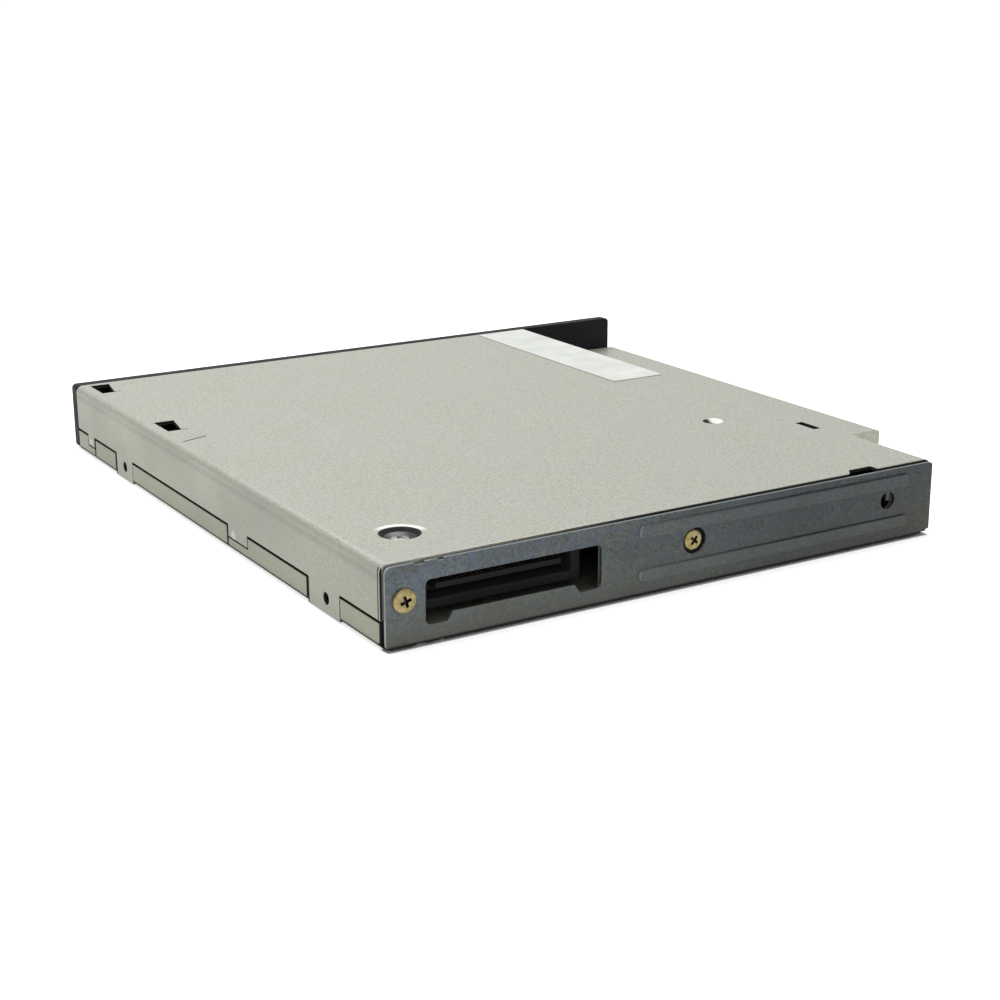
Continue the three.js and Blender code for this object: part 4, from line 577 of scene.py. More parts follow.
def cover_finish():
    made = Finish("cover_sheet", STEEL_METALLIC)
    tone, grain, cloud = sheet_tone(made, *STEEL)
    x, y, z = made.axes()
    on_left = made.below(x, from_left(0.62), 0.04 * MM)
    flap = made.both(on_left, made.above(z, 0.6 * MM, 0.2 * MM))
    tone = made.blend(made.level(flap, 0, 0.8), tone, FLAP_PAINTED_SHADE)
    # Painted shadow along the foot, the rear edge low down and the seams beside the flaps
    foot = made.both(on_left, made.below(z, 0.75 * MM, 0.3 * MM))
    flap_seam_shade = made.both(on_left, made.above(x, from_left(0.12)), made.above(z, 0.9 * MM))
    rear = made.both(made.below(y, from_rear(0.9)), made.below(z, 0.9 * MM))
    dark = made.either(foot, flap_seam_shade, rear, made.both(on_left, gap_shadows(made, y, z)))
    tone = made.blend(dark, tone, PAINTED_SHADE_TONE)
    return made.finish(tone, sheet_gloss(made, cloud, dark), grain, GRAIN_DEPTH)


cover_steel = cover_finish()
print("the cover finish has", len(cover_steel.node_tree.nodes), "nodes")


# %% [markdown]
# The rear bracket is a darker sheet. It is blue-grey at the connector end, with an olive cast low down,
# and runs to a browner, darker tone at the other end, with blotches of both. The edges that face up and
# to the left carry a painted highlight, the top edges of the ribs painted shade and the foot a painted
# shadow.

# %% Make the finish of the bracket
RIB_LEFT = from_left(43.9)
RIB_TOPS = (4.15 * MM, 11.2 * MM)
BRACKET_LEFT = ((0.145, 0.165, 0.140), (0.065, 0.078, 0.070), (0.095, 0.120, 0.165))
BRACKET_RIGHT = ((0.056, 0.064, 0.050), (0.020, 0.024, 0.020), (0.034, 0.042, 0.062))
OLIVE = (0.105, 0.102, 0.066)
BROWN = (0.070, 0.066, 0.044)
EDGE_PAINTED_HIGHLIGHT = (0.33, 0.36, 0.35)
RIB_SHADE = (0.010, 0.012, 0.020)


def painted_edge_highlights(made, x, y):
    """Painted highlight on the faces that point up, a few that point to the left, and a trace on the rear
    face.
    """
    facing = made.split(made.add("ShaderNodeNewGeometry").outputs["Normal"])
    ends = made.either(made.below(x, bracket_low.x + 1.5 * MM),
                       made.between(x, RIB_LEFT - 0.3 * MM, RIB_LEFT + 1.2 * MM))
    return made.either(made.level(facing["Z"], 0, 0.45, 0.25, 0.6),
                       made.both(made.level(facing["X"], 0.9, 0, -0.5, -0.12), ends),
                       made.level(y, 0.06, 0, bracket_low.y + 0.05 * MM, bracket_low.y + 0.15 * MM))


def bracket_finish():
    made = Finish("bracket_sheet", 0.4)
    x, y, z = made.axes()
    left = sheet_tone(made, *BRACKET_LEFT, streaks=0.1)
    right = sheet_tone(made, *BRACKET_RIGHT, streaks=0.1)
    along = made.level(x, 0, 1, bracket_low.x + 8 * MM, bracket_low.x + 75 * MM)
    low_down = made.both(made.level(along, 0.6, 0.2), made.level(z, 1, 0, 1.5 * MM, 8 * MM))
    tone = made.blend(along, left[0], right[0])
    tone = made.blend(low_down, tone, OLIVE)
    blotch = made.noise(5 * MM, 3, (0.5, 1, 1))
    tone = made.blend(made.level(blotch, 0, 0.35, 0.5, 0.7), tone, BROWN)
    # Painted highlight on the edges that face up and to the left
    tone = made.blend(painted_edge_highlights(made, x, y), tone, EDGE_PAINTED_HIGHLIGHT)
    # Painted shade along the top edges of the ribs
    shaded = made.either(*(made.between(z, rib - 0.1 * MM, rib + 0.2 * MM) for rib in RIB_TOPS))
    on_ribs = made.both(made.level(x, 0, 0.85, RIB_LEFT + 3 * MM, RIB_LEFT + 30 * MM),
                        made.below(x, bracket_high.x - 5.5 * MM))
    tone = made.blend(made.both(shaded, on_ribs), tone, RIB_SHADE)
    # Painted shadow along the foot of the bracket
    foot = made.below(z, 0.45 * MM, 0.3 * MM)
    tone = made.blend(foot, tone, PAINTED_SHADE_TONE)
    gloss = made.either(made.level(blotch, 0.40, 0.55, 0.3, 0.7), made.level(foot, 0, DULL))
    return made.finish(tone, gloss, left[1], GRAIN_DEPTH)


grey_steel = bracket_finish()
print("the bracket finish has", len(grey_steel.node_tree.nodes), "nodes")


# %% [markdown]
# Shafts, springs and pins are drawn or turned, so they are nearly even, with very fine lines that run
# along them. Copper wire and cast alloy are made the same way, with deeper lines.

# %% Make the machined metals
def machined(name, colour, roughness, grain_size, depth):
    """Drawn or turned metal: nearly even, with very fine lines."""
    made = Finish(name, 1.0)
    lines = made.noise(grain_size, 2, (1, 0.08, 1))
    cloud = made.noise(3 * MM, 2)
    darker = tuple(c * 0.8 for c in colour)
    tone = made.blend(made.level(lines, 0, 1, 0.3, 0.7), darker, colour)
    gloss = made.level(cloud, roughness - 0.06, roughness + 0.06, 0.3, 0.7)
    return made.finish(tone, gloss, lines, depth)


spring_steel = machined("spring_steel", (0.42, 0.42, 0.41), 0.3, 0.12 * MM, 0.004 * MM)
contact_gold = machined("contact_gold", (0.62, 0.43, 0.16), 0.3, 0.08 * MM, 0.002 * MM)
copper = machined("copper_wire", (0.50, 0.21, 0.08), 0.38, 0.10 * MM, 0.02 * MM)
cast_alloy = machined("cast_alloy", (0.36, 0.37, 0.37), 0.52, 0.25 * MM, 0.02 * MM)
print("machined:", [made.name for made in (spring_steel, contact_gold, copper, cast_alloy)])


# %% [markdown]
# The screws are yellow-passivated zinc: a dull olive brass with paler and greener patches. Painted shade
# darkens the cross, so the recipe for the screws marks the faces of the recess with an attribute.

# %% Make the screw finish
RECESS = "recess"


def yellow_passivated():
    made = Finish("yellow_zinc", 0.6)
    patch = made.noise(0.9 * MM, 3)
    grain = made.noise(0.12 * MM, 2)
    tone = made.blend(made.level(patch, 0, 1, 0.35, 0.65), (0.27, 0.20, 0.072), (0.46, 0.39, 0.19))
    worn = made.blend(made.level(grain, 0, 0.5, 0.5, 0.8), tone, (0.20, 0.15, 0.06))
    recess = made.add("ShaderNodeAttribute", attribute_name=RECESS).outputs["Fac"]
    # Painted shade: the faces of the cross recess are painted nearly black
    recess_painted_shade = made.blend(recess, worn, (0.016, 0.012, 0.006))
    return made.finish(recess_painted_shade, made.level(patch, 0.40, 0.55), grain, 0.006 * MM)


yellow_zinc = yellow_passivated()
print("the screw finish has", len(yellow_zinc.node_tree.nodes), "nodes")


# %% [markdown]
# Plastics come from a mould with a spark-eroded surface, so they carry a fine cell-like grain.
# Rubber, paper, chips and film are variations of the same idea with other sizes and colours.

# %% Make the plastic, rubber and paper finishes
def moulded(name, colour, roughness, grain_size=0.12 * MM, depth=0.008 * MM, specular=0.5):
    made = Finish(name, 0.0, specular)
    cells = made.cells(grain_size)
    cloud = made.noise(6 * MM, 2)
    lighter = tuple(min(1, c * 1.35 + 0.002) for c in colour)
    tone = made.blend(made.level(cloud, 0, 0.6, 0.3, 0.7), colour, lighter)
    speckled = made.blend(made.level(cells, 0.25, 0, 0.0, 0.6), tone, lighter)
    gloss = made.level(cloud, roughness - 0.05, roughness + 0.07, 0.3, 0.7)
    return made.finish(speckled, gloss, cells, depth)


bezel_plastic = moulded("bezel_plastic", (0.0095, 0.0100, 0.0125), 0.6, 0.12 * MM, 0.006 * MM, 0.12)
tray_plastic = moulded("tray_plastic", (0.011, 0.0115, 0.013), 0.5, 0.16 * MM, 0.01 * MM)
connector_plastic = moulded("connector_plastic", (0.034, 0.035, 0.034), 0.7, 0.2 * MM, 0.01 * MM, 0.1)
grey_plastic = moulded("grey_plastic", (0.045, 0.047, 0.052), 0.5)
rubber = moulded("damper_rubber", (0.016, 0.0155, 0.015), 0.82, 0.3 * MM, 0.02 * MM, 0.25)
chip_black = moulded("chip_resin", (0.011, 0.011, 0.0115), 0.5, 0.09 * MM, 0.006 * MM)
socket_ivory = moulded("socket_ivory", (0.66, 0.60, 0.47), 0.5)
label_paper = moulded("label_paper", (0.66, 0.68, 0.64), 0.75, 0.25 * MM, 0.01 * MM, 0.15)
black_film = moulded("black_film", (0.016, 0.017, 0.018), 0.35, 0.8 * MM, 0.01 * MM)
print(len(bpy.data.materials), "materials so far")


# %% [markdown]
# The clear lamp lens and the pickup's glass lens let light through. Dust and a faint wave in the
# surface keep them from looking like holes.

# %% Make the clear finishes
def clear(name, colour, roughness, transmission, ior):
    made = Finish(name, 0.0)
    made.fill(made.shader, {"Transmission Weight": transmission, "IOR": ior, "Coat Weight": 0.4})
    cloud = made.noise(1.5 * MM, 2)
    dimmer = tuple(c * 0.85 for c in colour)
    tone = made.blend(made.level(cloud, 0, 1, 0.3, 0.7), dimmer, colour)
    return made.finish(tone, made.level(cloud, roughness, roughness + 0.08), cloud, 0.004 * MM)


lamp_clear = clear("lamp_lens", (0.55, 0.66, 0.50), 0.18, 0.55, 1.49)
lens_glass = clear("pickup_glass", (0.36, 0.50, 0.78), 0.03, 0.55, 1.6)
print("clear:", lamp_clear.name, "and", lens_glass.name)


# %% [markdown]
# The circuit board has a green mask over copper. Under the mask the copper shows as slightly paler
# lines, which a brick pattern of long thin cells suggests well at this size.

# %% Make the board and ribbon finishes
def board_mask():
    made = Finish("board_mask", 0.0)
    made.fill(made.shader, {"Coat Weight": 0.35})
    tracks = made.add("ShaderNodeTexBrick", {
        "Vector": made.place, "Scale": 1 / (9 * MM), "Mortar Size": 0.018, "Brick Width": 0.9,
        "Row Height": 0.11, "Color1": (0.004, 0.052, 0.026, 1), "Color2": (0.005, 0.062, 0.030, 1),
        "Mortar": (0.018, 0.155, 0.075, 1)})
    cloud = made.noise(8 * MM, 2)
    faded = made.level(cloud, 0, 0.35, 0.4, 0.7)
    tone = made.blend(faded, tracks.outputs["Color"], (0.010, 0.10, 0.05))
    return made.finish(tone, made.level(cloud, 0.3, 0.45), tracks.outputs["Fac"], 0.02 * MM)


def ribbon_film_finish():
    made = Finish("ribbon_film", 0.0)
    made.fill(made.shader, {"Coat Weight": 0.25})
    wave = made.add("ShaderNodeTexWave", {"Vector": made.place, "Scale": 1 / (3.2 * MM)},
                    bands_direction="X", wave_profile="SIN")
    lines = made.level(wave.outputs["Fac"], 0, 1, 0.35, 0.65)
    cloud = made.noise(10 * MM, 2)
    tone = made.blend(lines, (0.60, 0.62, 0.62), (0.36, 0.39, 0.42))
    return made.finish(tone, made.level(cloud, 0.3, 0.45), wave.outputs["Fac"], 0.03 * MM)


board_green = board_mask()
ribbon_film = ribbon_film_finish()
FINISH_OF_SLOT = {
    "bright_steel": bright_steel, "grey_steel": grey_steel, "spring_steel": spring_steel,
    "yellow_zinc": yellow_zinc, "contact_gold": contact_gold, "copper_winding": copper,
    "black_plastic": tray_plastic, "grey_plastic": grey_plastic, "board_green": board_green,
    "chip_black": chip_black, "cast_alloy": cast_alloy, "rubber": rubber, "label_paper": label_paper,
    "socket_ivory": socket_ivory, "clear_plastic": lamp_clear, "ribbon_film": ribbon_film,
    "black_film": black_film,
}
print(len(bpy.data.materials), "materials")


# %% [markdown]
# ## Rounding the CAD shapes
# Pressed, moulded and cast pieces never have knife edges. A copy of the CAD mesh is merged, its flat
# faces are joined, and the edges that are long enough get a small bevel. A Weighted Normal modifier
# then keeps the broad faces flat in shading while the bevels turn the light.

# %% Define the dressing helper
SHARP = math.radians(30)
# An edge has room if it is longer than this many bevels
ROOM = 2.6
FLAT = math.radians(0.4)
MERGE = 0.002 * MM


def link_piece(name, mesh, finish, body):
    """Makes an object of a mesh with one finish, which rides on a body when one is given."""
    mesh.name = name
    mesh.materials.clear()
    mesh.materials.append(finish)
    piece = bpy.data.objects.new(name, mesh)
    bpy.context.scene.collection.objects.link(piece)
    if body:
        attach(piece, body)
    return piece


def long_edges(shape, size):
    """The sharp edges that have room for a bevel of that size at both ends."""
    roomy = [e for e in shape.edges if e.calc_length() > ROOM * size]
    roomy_set = set(roomy)
    chosen = []
    for edge in roomy:
        if len(edge.link_faces) != 2 or edge.calc_face_angle(0) < SHARP:
            continue
        beside = [e for v in edge.verts for e in v.link_edges]
        if all(e in roomy_set or e.calc_face_angle(0) < SHARP for e in beside):
            chosen.append(edge)
    return chosen


def shade_by_angle(mesh, weighted_piece=None):
    mesh.shade_smooth()
    mesh.set_sharp_from_angle(angle=SHARP)
    if weighted_piece:
        weighted = weighted_piece.modifiers.new("flat_faces", "WEIGHTED_NORMAL")
        weighted.keep_sharp = True


def set_down(mesh, place, toward, turn=0.0, up="X"):
    """Moves a mesh that was made at the origin to its place, with its Z axis toward a direction."""
    aimed = Vector(toward).to_track_quat("Z", up).to_matrix().to_4x4()
    mesh.transform(Matrix.Translation(place) @ aimed @ Matrix.Rotation(turn, 4, "Z"))


def closed_mesh(shape, mesh):
    """Turns every face outwards and writes the shape to the mesh."""
    bmesh.ops.recalc_face_normals(shape, faces=shape.faces)
    shape.to_mesh(mesh)
    shape.free()
    return mesh


def dressed(node, bevel, finish=None):
    """Stands for a CAD node with the same shape and softened edges."""
    source = nodes[node]
    slot = slot_of[node]
    mesh = source.data.copy()
    shape = bmesh.new()
    shape.from_mesh(mesh)
    bmesh.ops.remove_doubles(shape, verts=shape.verts, dist=MERGE)
    bmesh.ops.dissolve_limit(shape, angle_limit=FLAT, verts=shape.verts, edges=shape.edges)
    edges = long_edges(shape, bevel)
    if edges:
        bmesh.ops.bevel(shape, geom=edges, offset=bevel, offset_type="OFFSET", segments=2,
                        profile=0.5, affect="EDGES", clamp_overlap=True)
    shape.to_mesh(mesh)
    shape.free()
    look = finish or FINISH_OF_SLOT[slot]
    piece = link_piece(node + "_finished", mesh, look, source["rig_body"])
    shade_by_angle(mesh, piece)
    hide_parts(node)
    return piece


slot_of = {part["node"]: part["material_slot"] for part in frame["record"]["subparts"]}
print("slots are known for", len(slot_of), "nodes")


# %% [markdown]
# ## Geometry Nodes for what repeats
# Screws, contacts, springs and threads repeat one small shape by a rule. Each rule is a Geometry Nodes
# tree with named inputs for its sizes. The result is turned into a plain mesh, because instances and
# live trees are lost in an export.

# %% Define the recipe helper
class Recipe(Tree):
    """A Geometry Nodes tree with named sizes as its inputs."""

    KINDS = {int: "NodeSocketInt", float: "NodeSocketFloat"}

    def __init__(self, name, **sizes):
        super().__init__(bpy.data.node_groups.new(name, "GeometryNodeTree"))
        self.tree.interface.new_socket("Geometry", in_out="OUTPUT", socket_type="NodeSocketGeometry")
        for size, value in sizes.items():
            kind = self.KINDS[type(value)]
            socket = self.tree.interface.new_socket(size, in_out="INPUT", socket_type=kind)
            socket.default_value = value
        self.tree.interface.new_socket("Material", in_out="INPUT", socket_type="NodeSocketMaterial")
        self.sizes = self.tree.nodes.new("NodeGroupInput").outputs

    def vector(self, x=0.0, y=0.0, z=0.0):
        return self.step("ShaderNodeCombineXYZ", {"X": x, "Y": y, "Z": z})

    def place(self):
        return self.step("GeometryNodeInputPosition")

    def placed(self, shape, place):
        return self.step("GeometryNodeSetPosition", {"Geometry": shape, "Position": place})

    def moved(self, shape, by):
        return self.step("GeometryNodeTransform", {"Geometry": shape, "Translation": by})

    def block(self, x, y, z):
        return self.step("GeometryNodeMeshCube", {"Size": self.vector(x, y, z)})

    def rod(self, sides, radius, length, middle):
        """A cylinder along Z with its middle at that height."""
        inputs = {"Vertices": sides, "Radius": radius, "Depth": length}
        return self.moved(self.step("GeometryNodeMeshCylinder", inputs), self.vector(z=middle))

    def joined(self, *shapes):
        return self.step("GeometryNodeJoinGeometry", {0: list(shapes)})

    def united(self, *shapes):
        """One closed skin round overlapping shapes."""
        return self.step("GeometryNodeMeshBoolean", {1: list(shapes)}, operation="UNION",
                         solver="EXACT")

    def end(self, geometry):
        """Real geometry with its material, at the tree's output."""
        real = self.step("GeometryNodeRealizeInstances", {"Geometry": geometry})
        inputs = {"Geometry": real, "Material": self.sizes["Material"]}
        self.add("NodeGroupOutput", {0: self.step("GeometryNodeSetMaterial", inputs)})
        return self

    def grow(self, finish, **sizes):
        """Runs the tree with those sizes and returns its result as a plain mesh."""
        carrier = bpy.data.objects.new("carrier", bpy.data.meshes.new("carrier"))
        bpy.context.scene.collection.objects.link(carrier)
        modifier = carrier.modifiers.new("recipe", "NODES")
        modifier.node_group = self.tree
        for item in self.tree.interface.items_tree:
            if item.in_out == "INPUT":
                value = finish if item.name == "Material" else sizes.get(item.name, item.default_value)
                modifier[item.identifier] = value
        bpy.context.view_layer.update()
        evaluated = carrier.evaluated_get(bpy.context.evaluated_depsgraph_get())
        mesh = bpy.data.meshes.new_from_object(evaluated)
        bpy.data.objects.remove(carrier)
        return mesh


print("a recipe can also", skills(Recipe))


# %% [markdown]
# ## Cross-head screws
# A screw head is a low dome on a thin lip. The tree starts from a ball, lifts its upper half into a
# crown with a flat top and squeezes the lower half into the lip. A bar cross, narrower at its foot,
# is cut out of the crown. The five screws differ only in the sizes that are measured from their nodes.

# %% Build the screw recipe
def screw_recipe():
    recipe = Recipe("cross_head_screw", HeadRadius=1.85 * MM, HeadHeight=0.7 * MM,
                    ShankRadius=0.8 * MM, ShankLength=3.0 * MM, CrossWidth=0.5 * MM,
                    CrossLength=2.0 * MM, CrossDepth=0.45 * MM, Crown=0.45, Lip=0.12, Taper=0.45,
                    Segments=40, Rings=24)
    size = recipe.sizes
    ball = recipe.step("GeometryNodeMeshUVSphere", {
        "Radius": 1.0, "Segments": size["Segments"], "Rings": size["Rings"]})
    spot = recipe.split(recipe.place())
    up = recipe.math("POWER", recipe.math("MAXIMUM", spot["Z"], 0.0), size["Crown"])
    down = recipe.math("MULTIPLY", recipe.math("MINIMUM", spot["Z"], 0.0), size["Lip"])
    head = recipe.placed(ball, recipe.vector(
        recipe.math("MULTIPLY", spot["X"], size["HeadRadius"]),
        recipe.math("MULTIPLY", spot["Y"], size["HeadRadius"]),
        recipe.math("MULTIPLY", recipe.math("ADD", up, down), size["HeadHeight"])))
    half = recipe.math("MULTIPLY", size["ShankLength"], -0.5)
    shank = recipe.rod(size["Segments"], size["ShankRadius"], size["ShankLength"], half)
    twice = recipe.math("MULTIPLY", size["CrossDepth"], 2.0)
    cross = recipe.united(recipe.block(size["CrossLength"], size["CrossWidth"], twice),
                          recipe.block(size["CrossWidth"], size["CrossLength"], twice))
    low = recipe.math("LESS_THAN", recipe.split(recipe.place())["Z"], 0.0)
    width = recipe.math("SUBTRACT", 1.0, recipe.math("MULTIPLY", low, size["Taper"]))
    narrow = recipe.vector(width, width, 1.0)
    tapered = recipe.placed(cross, recipe.vector_math("MULTIPLY", recipe.place(), narrow))
    lifted = recipe.moved(tapered, recipe.vector(z=size["HeadHeight"]))
    marked = recipe.step("GeometryNodeStoreNamedAttribute",
                         {"Geometry": lifted, "Name": RECESS, "Value": 1.0},
                         data_type="FLOAT", domain="FACE")
    cut = recipe.step("GeometryNodeMeshBoolean", {0: recipe.united(head, shank), 1: marked},
                      operation="DIFFERENCE", solver="EXACT")
    return recipe.end(cut)


cross_head = screw_recipe()
print("the screw recipe has", len(cross_head.tree.nodes), "nodes")


# %% [markdown]
# Two screws hold the rear bracket, one stands in the large dimple and two hold the cover. Each takes
# its radius and its length from its node, and its cross is cut as a share of the head. Every head has
# its own turn, because a screw stops where it is tight.

# %% Put the five screws in
CROSS_WIDTH = 0.36
CROSS_LENGTH = 1.3
CROSS_DEPTH = 0.75
# The finish, the way the head faces, its height in mm and its turn in degrees
SCREW_LOOKS = {
    "bracket_screw_left": (yellow_zinc, (0, -1, 0), 0.7, 17),
    "bracket_screw_middle": (yellow_zinc, (0, -1, 0), 0.7, 52),
    "chassis_screw": (spring_steel, (0, 0, 1), 0.45, 30),
    "cover_screw_left": (spring_steel, (0, 0, -1), 0.25, 8),
    "cover_screw_right": (spring_steel, (0, 0, -1), 0.25, 63),
}
for node, (finish, facing, head_height, turn) in SCREW_LOOKS.items():
    low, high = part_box(node)
    axis = Vector(facing)
    spread = [high[i] - low[i] for i in range(3) if not axis[i]]
    length = abs((high - low).dot(axis))
    head_radius = max(spread) / 2
    head = head_height * MM
    mesh = cross_head.grow(finish, HeadRadius=head_radius, HeadHeight=head, ShankLength=length - head,
                           CrossWidth=CROSS_WIDTH * head_radius, CrossLength=CROSS_LENGTH * head_radius,
                           CrossDepth=CROSS_DEPTH * head)
    crown = (low + high) / 2 + axis * length / 2
    set_down(mesh, crown - axis * head, axis, math.radians(turn))
    piece = link_piece(node + "_turned", mesh, finish, "case")
    shade_by_angle(mesh)
    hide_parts(node)
print(len(SCREW_LOOKS), "screws of", len(mesh.polygons), "faces each")


# %% [markdown]
# ## Pieces that keep their CAD shape
# Each of these pieces keeps its CAD shape, and the bevel is as wide as the real edge is round: a
# sheared sheet edge is nearly sharp, a moulded one is softer. A few pieces have a finish of their own,
# and the others take the finish of their material.

# %% Dress the shells, the sliding parts and the mechanism
# The width of the bevel in mm, and the pieces that have it
BEVELS = {
    0.03: ("blank_label", "insulating_sheet"),
    0.05: ("turntable_pad",),
    0.06: ("bottom_chassis", "top_cover", "main_board", "pickup_board", "motor_stator"),
    0.08: ("left_case_rail", "right_case_rail", "spindle_rotor", "rotor_magnet", "controller_chip",
           "driver_chip", "memory_chip", "board_flex_socket", "tray_flex_socket", "eject_switch",
           "latch_spring"),
    0.1: ("mechanism_cover", "left_slide_rail", "right_slide_rail", "hub_claw_1", "hub_claw_2",
          "hub_claw_3", "actuator_yoke", "solenoid_plunger", "lead_nut", "indicator_lens", "latch_pin",
          "rubber_damper_1", "rubber_damper_2", "rubber_damper_3", "rubber_damper_4"),
    0.12: ("rear_bracket", "tray", "pickup_sled", "lens_holder", "traverse_frame", "motor_base",
           "sled_motor", "latch_lever", "eject_plunger", "main_guide_shaft", "sub_guide_shaft"),
    0.15: ("eject_button", "drive_connector", "latch_solenoid", "eject_housing"),
    0.18: ("front_bezel",),
}
OWN_FINISH = {"bottom_chassis": chassis_steel, "top_cover": cover_steel, "front_bezel": bezel_plastic,
              "eject_button": bezel_plastic, "drive_connector": connector_plastic}
for bevel, names in BEVELS.items():
    for node in names:
        dressed(node, bevel * MM, OWN_FINISH.get(node))
print(sum(len(names) for names in BEVELS.values()), "nodes dressed")


# %% [markdown]
# ## Ribbon cable
# The ribbon joins the fixed board to the tray. It runs forward under the insulating sheet, folds over
# and comes back to the tray's socket. The fixed half rides on the case. The folded half crosses from
# the case to the tray, and it rides on no body.

# %% Lay the two halves of the ribbon
RIBBON_THICKNESS = 0.12 * MM
RIBBON_UPPER = 11.6 * MM
RIBBON_LOWER = 11.28 * MM
FOLD_RADIUS = (RIBBON_UPPER - RIBBON_LOWER) / 2
FOLD_SETBACK = 0.625 * MM
FOLD_STEPS = 10
CROSSING_STEPS = 120
BOARD_SOCKET_REACH = 0.08 * MM
TRAY_SOCKET_REACH = 0.18 * MM
RIBBON_MARGIN = 0.2 * MM
# The sag after the fold and the drop into the socket, each with its share of the length
SLACK = 0.06 * MM
SLACK_SHARE = 0.17
SOCKET_DROP = 0.62 * MM
DROP_SHARE = 0.14


def strip(path, low_x, high_x, thickness):
    """A flat band, closed all round, that follows a path of (y, z) places."""
    shape = bmesh.new()
    sections = []
    for i, place in enumerate(path):
        ahead = Vector(path[min(i + 1, len(path) - 1)]) - Vector(path[max(i - 1, 0)])
        out = Vector((-ahead.y, ahead.x)).normalized() * thickness / 2
        outer, inner = Vector(place) + out, Vector(place) - out
        corners = [(low_x, *outer), (high_x, *outer), (high_x, *inner), (low_x, *inner)]
        sections.append([shape.verts.new(corner) for corner in corners])
    for first, second in zip(sections, sections[1:]):
        for i in range(4):
            j = (i + 1) % 4
            shape.faces.new((first[i], first[j], second[j], second[i]))
    shape.faces.new(sections[0])
    shape.faces.new(sections[-1])
    return closed_mesh(shape, bpy.data.meshes.new("strip"))


def smoothstep(t):
    """Rises from 0 to 1 with a soft start and a soft end."""
    t = min(max(t, 0.0), 1.0)
    return t * t * (3 - 2 * t)


flex_low, flex_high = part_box("flex_cable")
board_socket_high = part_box("board_flex_socket")[1]
tray_socket_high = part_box("tray_flex_socket")[1]
fold_y = flex_high.y - FOLD_SETBACK
fold_z = (RIBBON_UPPER + RIBBON_LOWER) / 2
tray_end_y = tray_socket_high.y - TRAY_SOCKET_REACH
sides = (flex_low.x + RIBBON_MARGIN, flex_high.x - RIBBON_MARGIN)
upper_path = [(board_socket_high.y - BOARD_SOCKET_REACH, RIBBON_UPPER), (fold_y, RIBBON_UPPER)]
for i in range(1, FOLD_STEPS + 1):
    angle = math.pi * (0.5 - i / FOLD_STEPS)
    upper_path.append((fold_y + FOLD_RADIUS * math.cos(angle), fold_z + FOLD_RADIUS * math.sin(angle)))
lower_path = []
for i in range(CROSSING_STEPS + 1):
    t = i / CROSSING_STEPS
    drop = SOCKET_DROP * smoothstep((t - 1 + DROP_SHARE) / DROP_SHARE)
    sag = SLACK * min(t / SLACK_SHARE, 1) + drop
    lower_path.append((fold_y + t * (tray_end_y - fold_y), RIBBON_LOWER - sag))
upper_mesh = strip(upper_path, *sides, RIBBON_THICKNESS)
ribbon_upper = link_piece("ribbon_upper", upper_mesh, ribbon_film, "case")
lower_mesh = strip(lower_path, *sides, RIBBON_THICKNESS)
ribbon_lower = link_piece("ribbon_lower", lower_mesh, ribbon_film, None)
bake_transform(ribbon_lower)
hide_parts("flex_cable")
print("the ribbon's lower half has", len(lower_path), "sections")


# %% [markdown]
# ## Coils
# One tree winds a round wire along a helix, with or without a core. It makes the spring that pushes on
# the eject rod, and the thread of the lead screw that drives the pickup.

# %% Build the coil recipe
def coil_recipe():
    recipe = Recipe("wound_wire", CoilRadius=1.2 * MM, WireRadius=0.2 * MM, Turns=10.0,
                    Height=10.0 * MM, CoreRadius=0.0, CoreLength=0.0, StepsEach=20, WireSides=8,
                    CoreSides=32)
    size = recipe.sizes
    helix = recipe.step("GeometryNodeCurveSpiral", {
        "Resolution": size["StepsEach"], "Rotations": size["Turns"], "Height": size["Height"],
        "Start Radius": size["CoilRadius"], "End Radius": size["CoilRadius"]})
    ring = recipe.step("GeometryNodeCurvePrimitiveCircle", {
        "Resolution": size["WireSides"], "Radius": size["WireRadius"]})
    wire = recipe.step("GeometryNodeCurveToMesh", {
        "Curve": helix, "Profile Curve": ring, "Fill Caps": True})
    half = recipe.math("MULTIPLY", size["Height"], 0.5)
    core = recipe.rod(size["CoreSides"], size["CoreRadius"], size["CoreLength"], half)
    has_core = recipe.step("FunctionNodeCompare", {0: size["CoreLength"], 1: 0.0},
                           operation="GREATER_THAN")
    needed = recipe.step("GeometryNodeSwitch", {"Switch": has_core, "True": core},
                         input_type="GEOMETRY")
    return recipe.end(recipe.joined(wire, needed))


def outward(mesh):
    """Turns every face of a closed mesh outwards."""
    shape = bmesh.new()
    shape.from_mesh(mesh)
    return closed_mesh(shape, mesh)


wound = coil_recipe()
print("the coil recipe has", len(wound.tree.nodes), "nodes")


# %% [markdown]
# The spring pushes on the eject rod and shortens as the rod is pressed in. Its front end sits at the
# tray and its rear end at the rod, and the wound spring rides on no body.

# %% Wind the spring
SPRING_WIRE = 0.2 * MM
SPRING_TURNS = 10.0
spring_low, spring_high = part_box("eject_spring")
spring_middle = (spring_low + spring_high) / 2
spring_radius = (spring_high.x - spring_low.x) / 2 - SPRING_WIRE
spring_length = spring_high.y - spring_low.y - 2 * SPRING_WIRE
spring_mesh = outward(wound.grow(spring_steel, CoilRadius=spring_radius, WireRadius=SPRING_WIRE,
                                 Turns=SPRING_TURNS, Height=spring_length))
spring_front = Vector((spring_middle.x, spring_high.y - SPRING_WIRE, spring_middle.z))
set_down(spring_mesh, spring_front, toward=(0, -1, 0))
spring = link_piece("eject_spring_wound", spring_mesh, spring_steel, None)
shade_by_angle(spring_mesh)
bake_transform(spring)
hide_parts("eject_spring")
print("the spring has", len(spring_mesh.polygons), "faces")


# %% [markdown]
# The lead screw is a shaft with a coarse thread and plain ends. The thread is the same wound wire, sunk
# into a core that is a little thinner than the shaft of the node.

# %% Thread the lead screw
THREAD_PITCH = 3 * MM
THREAD_WIRE = 0.11 * MM
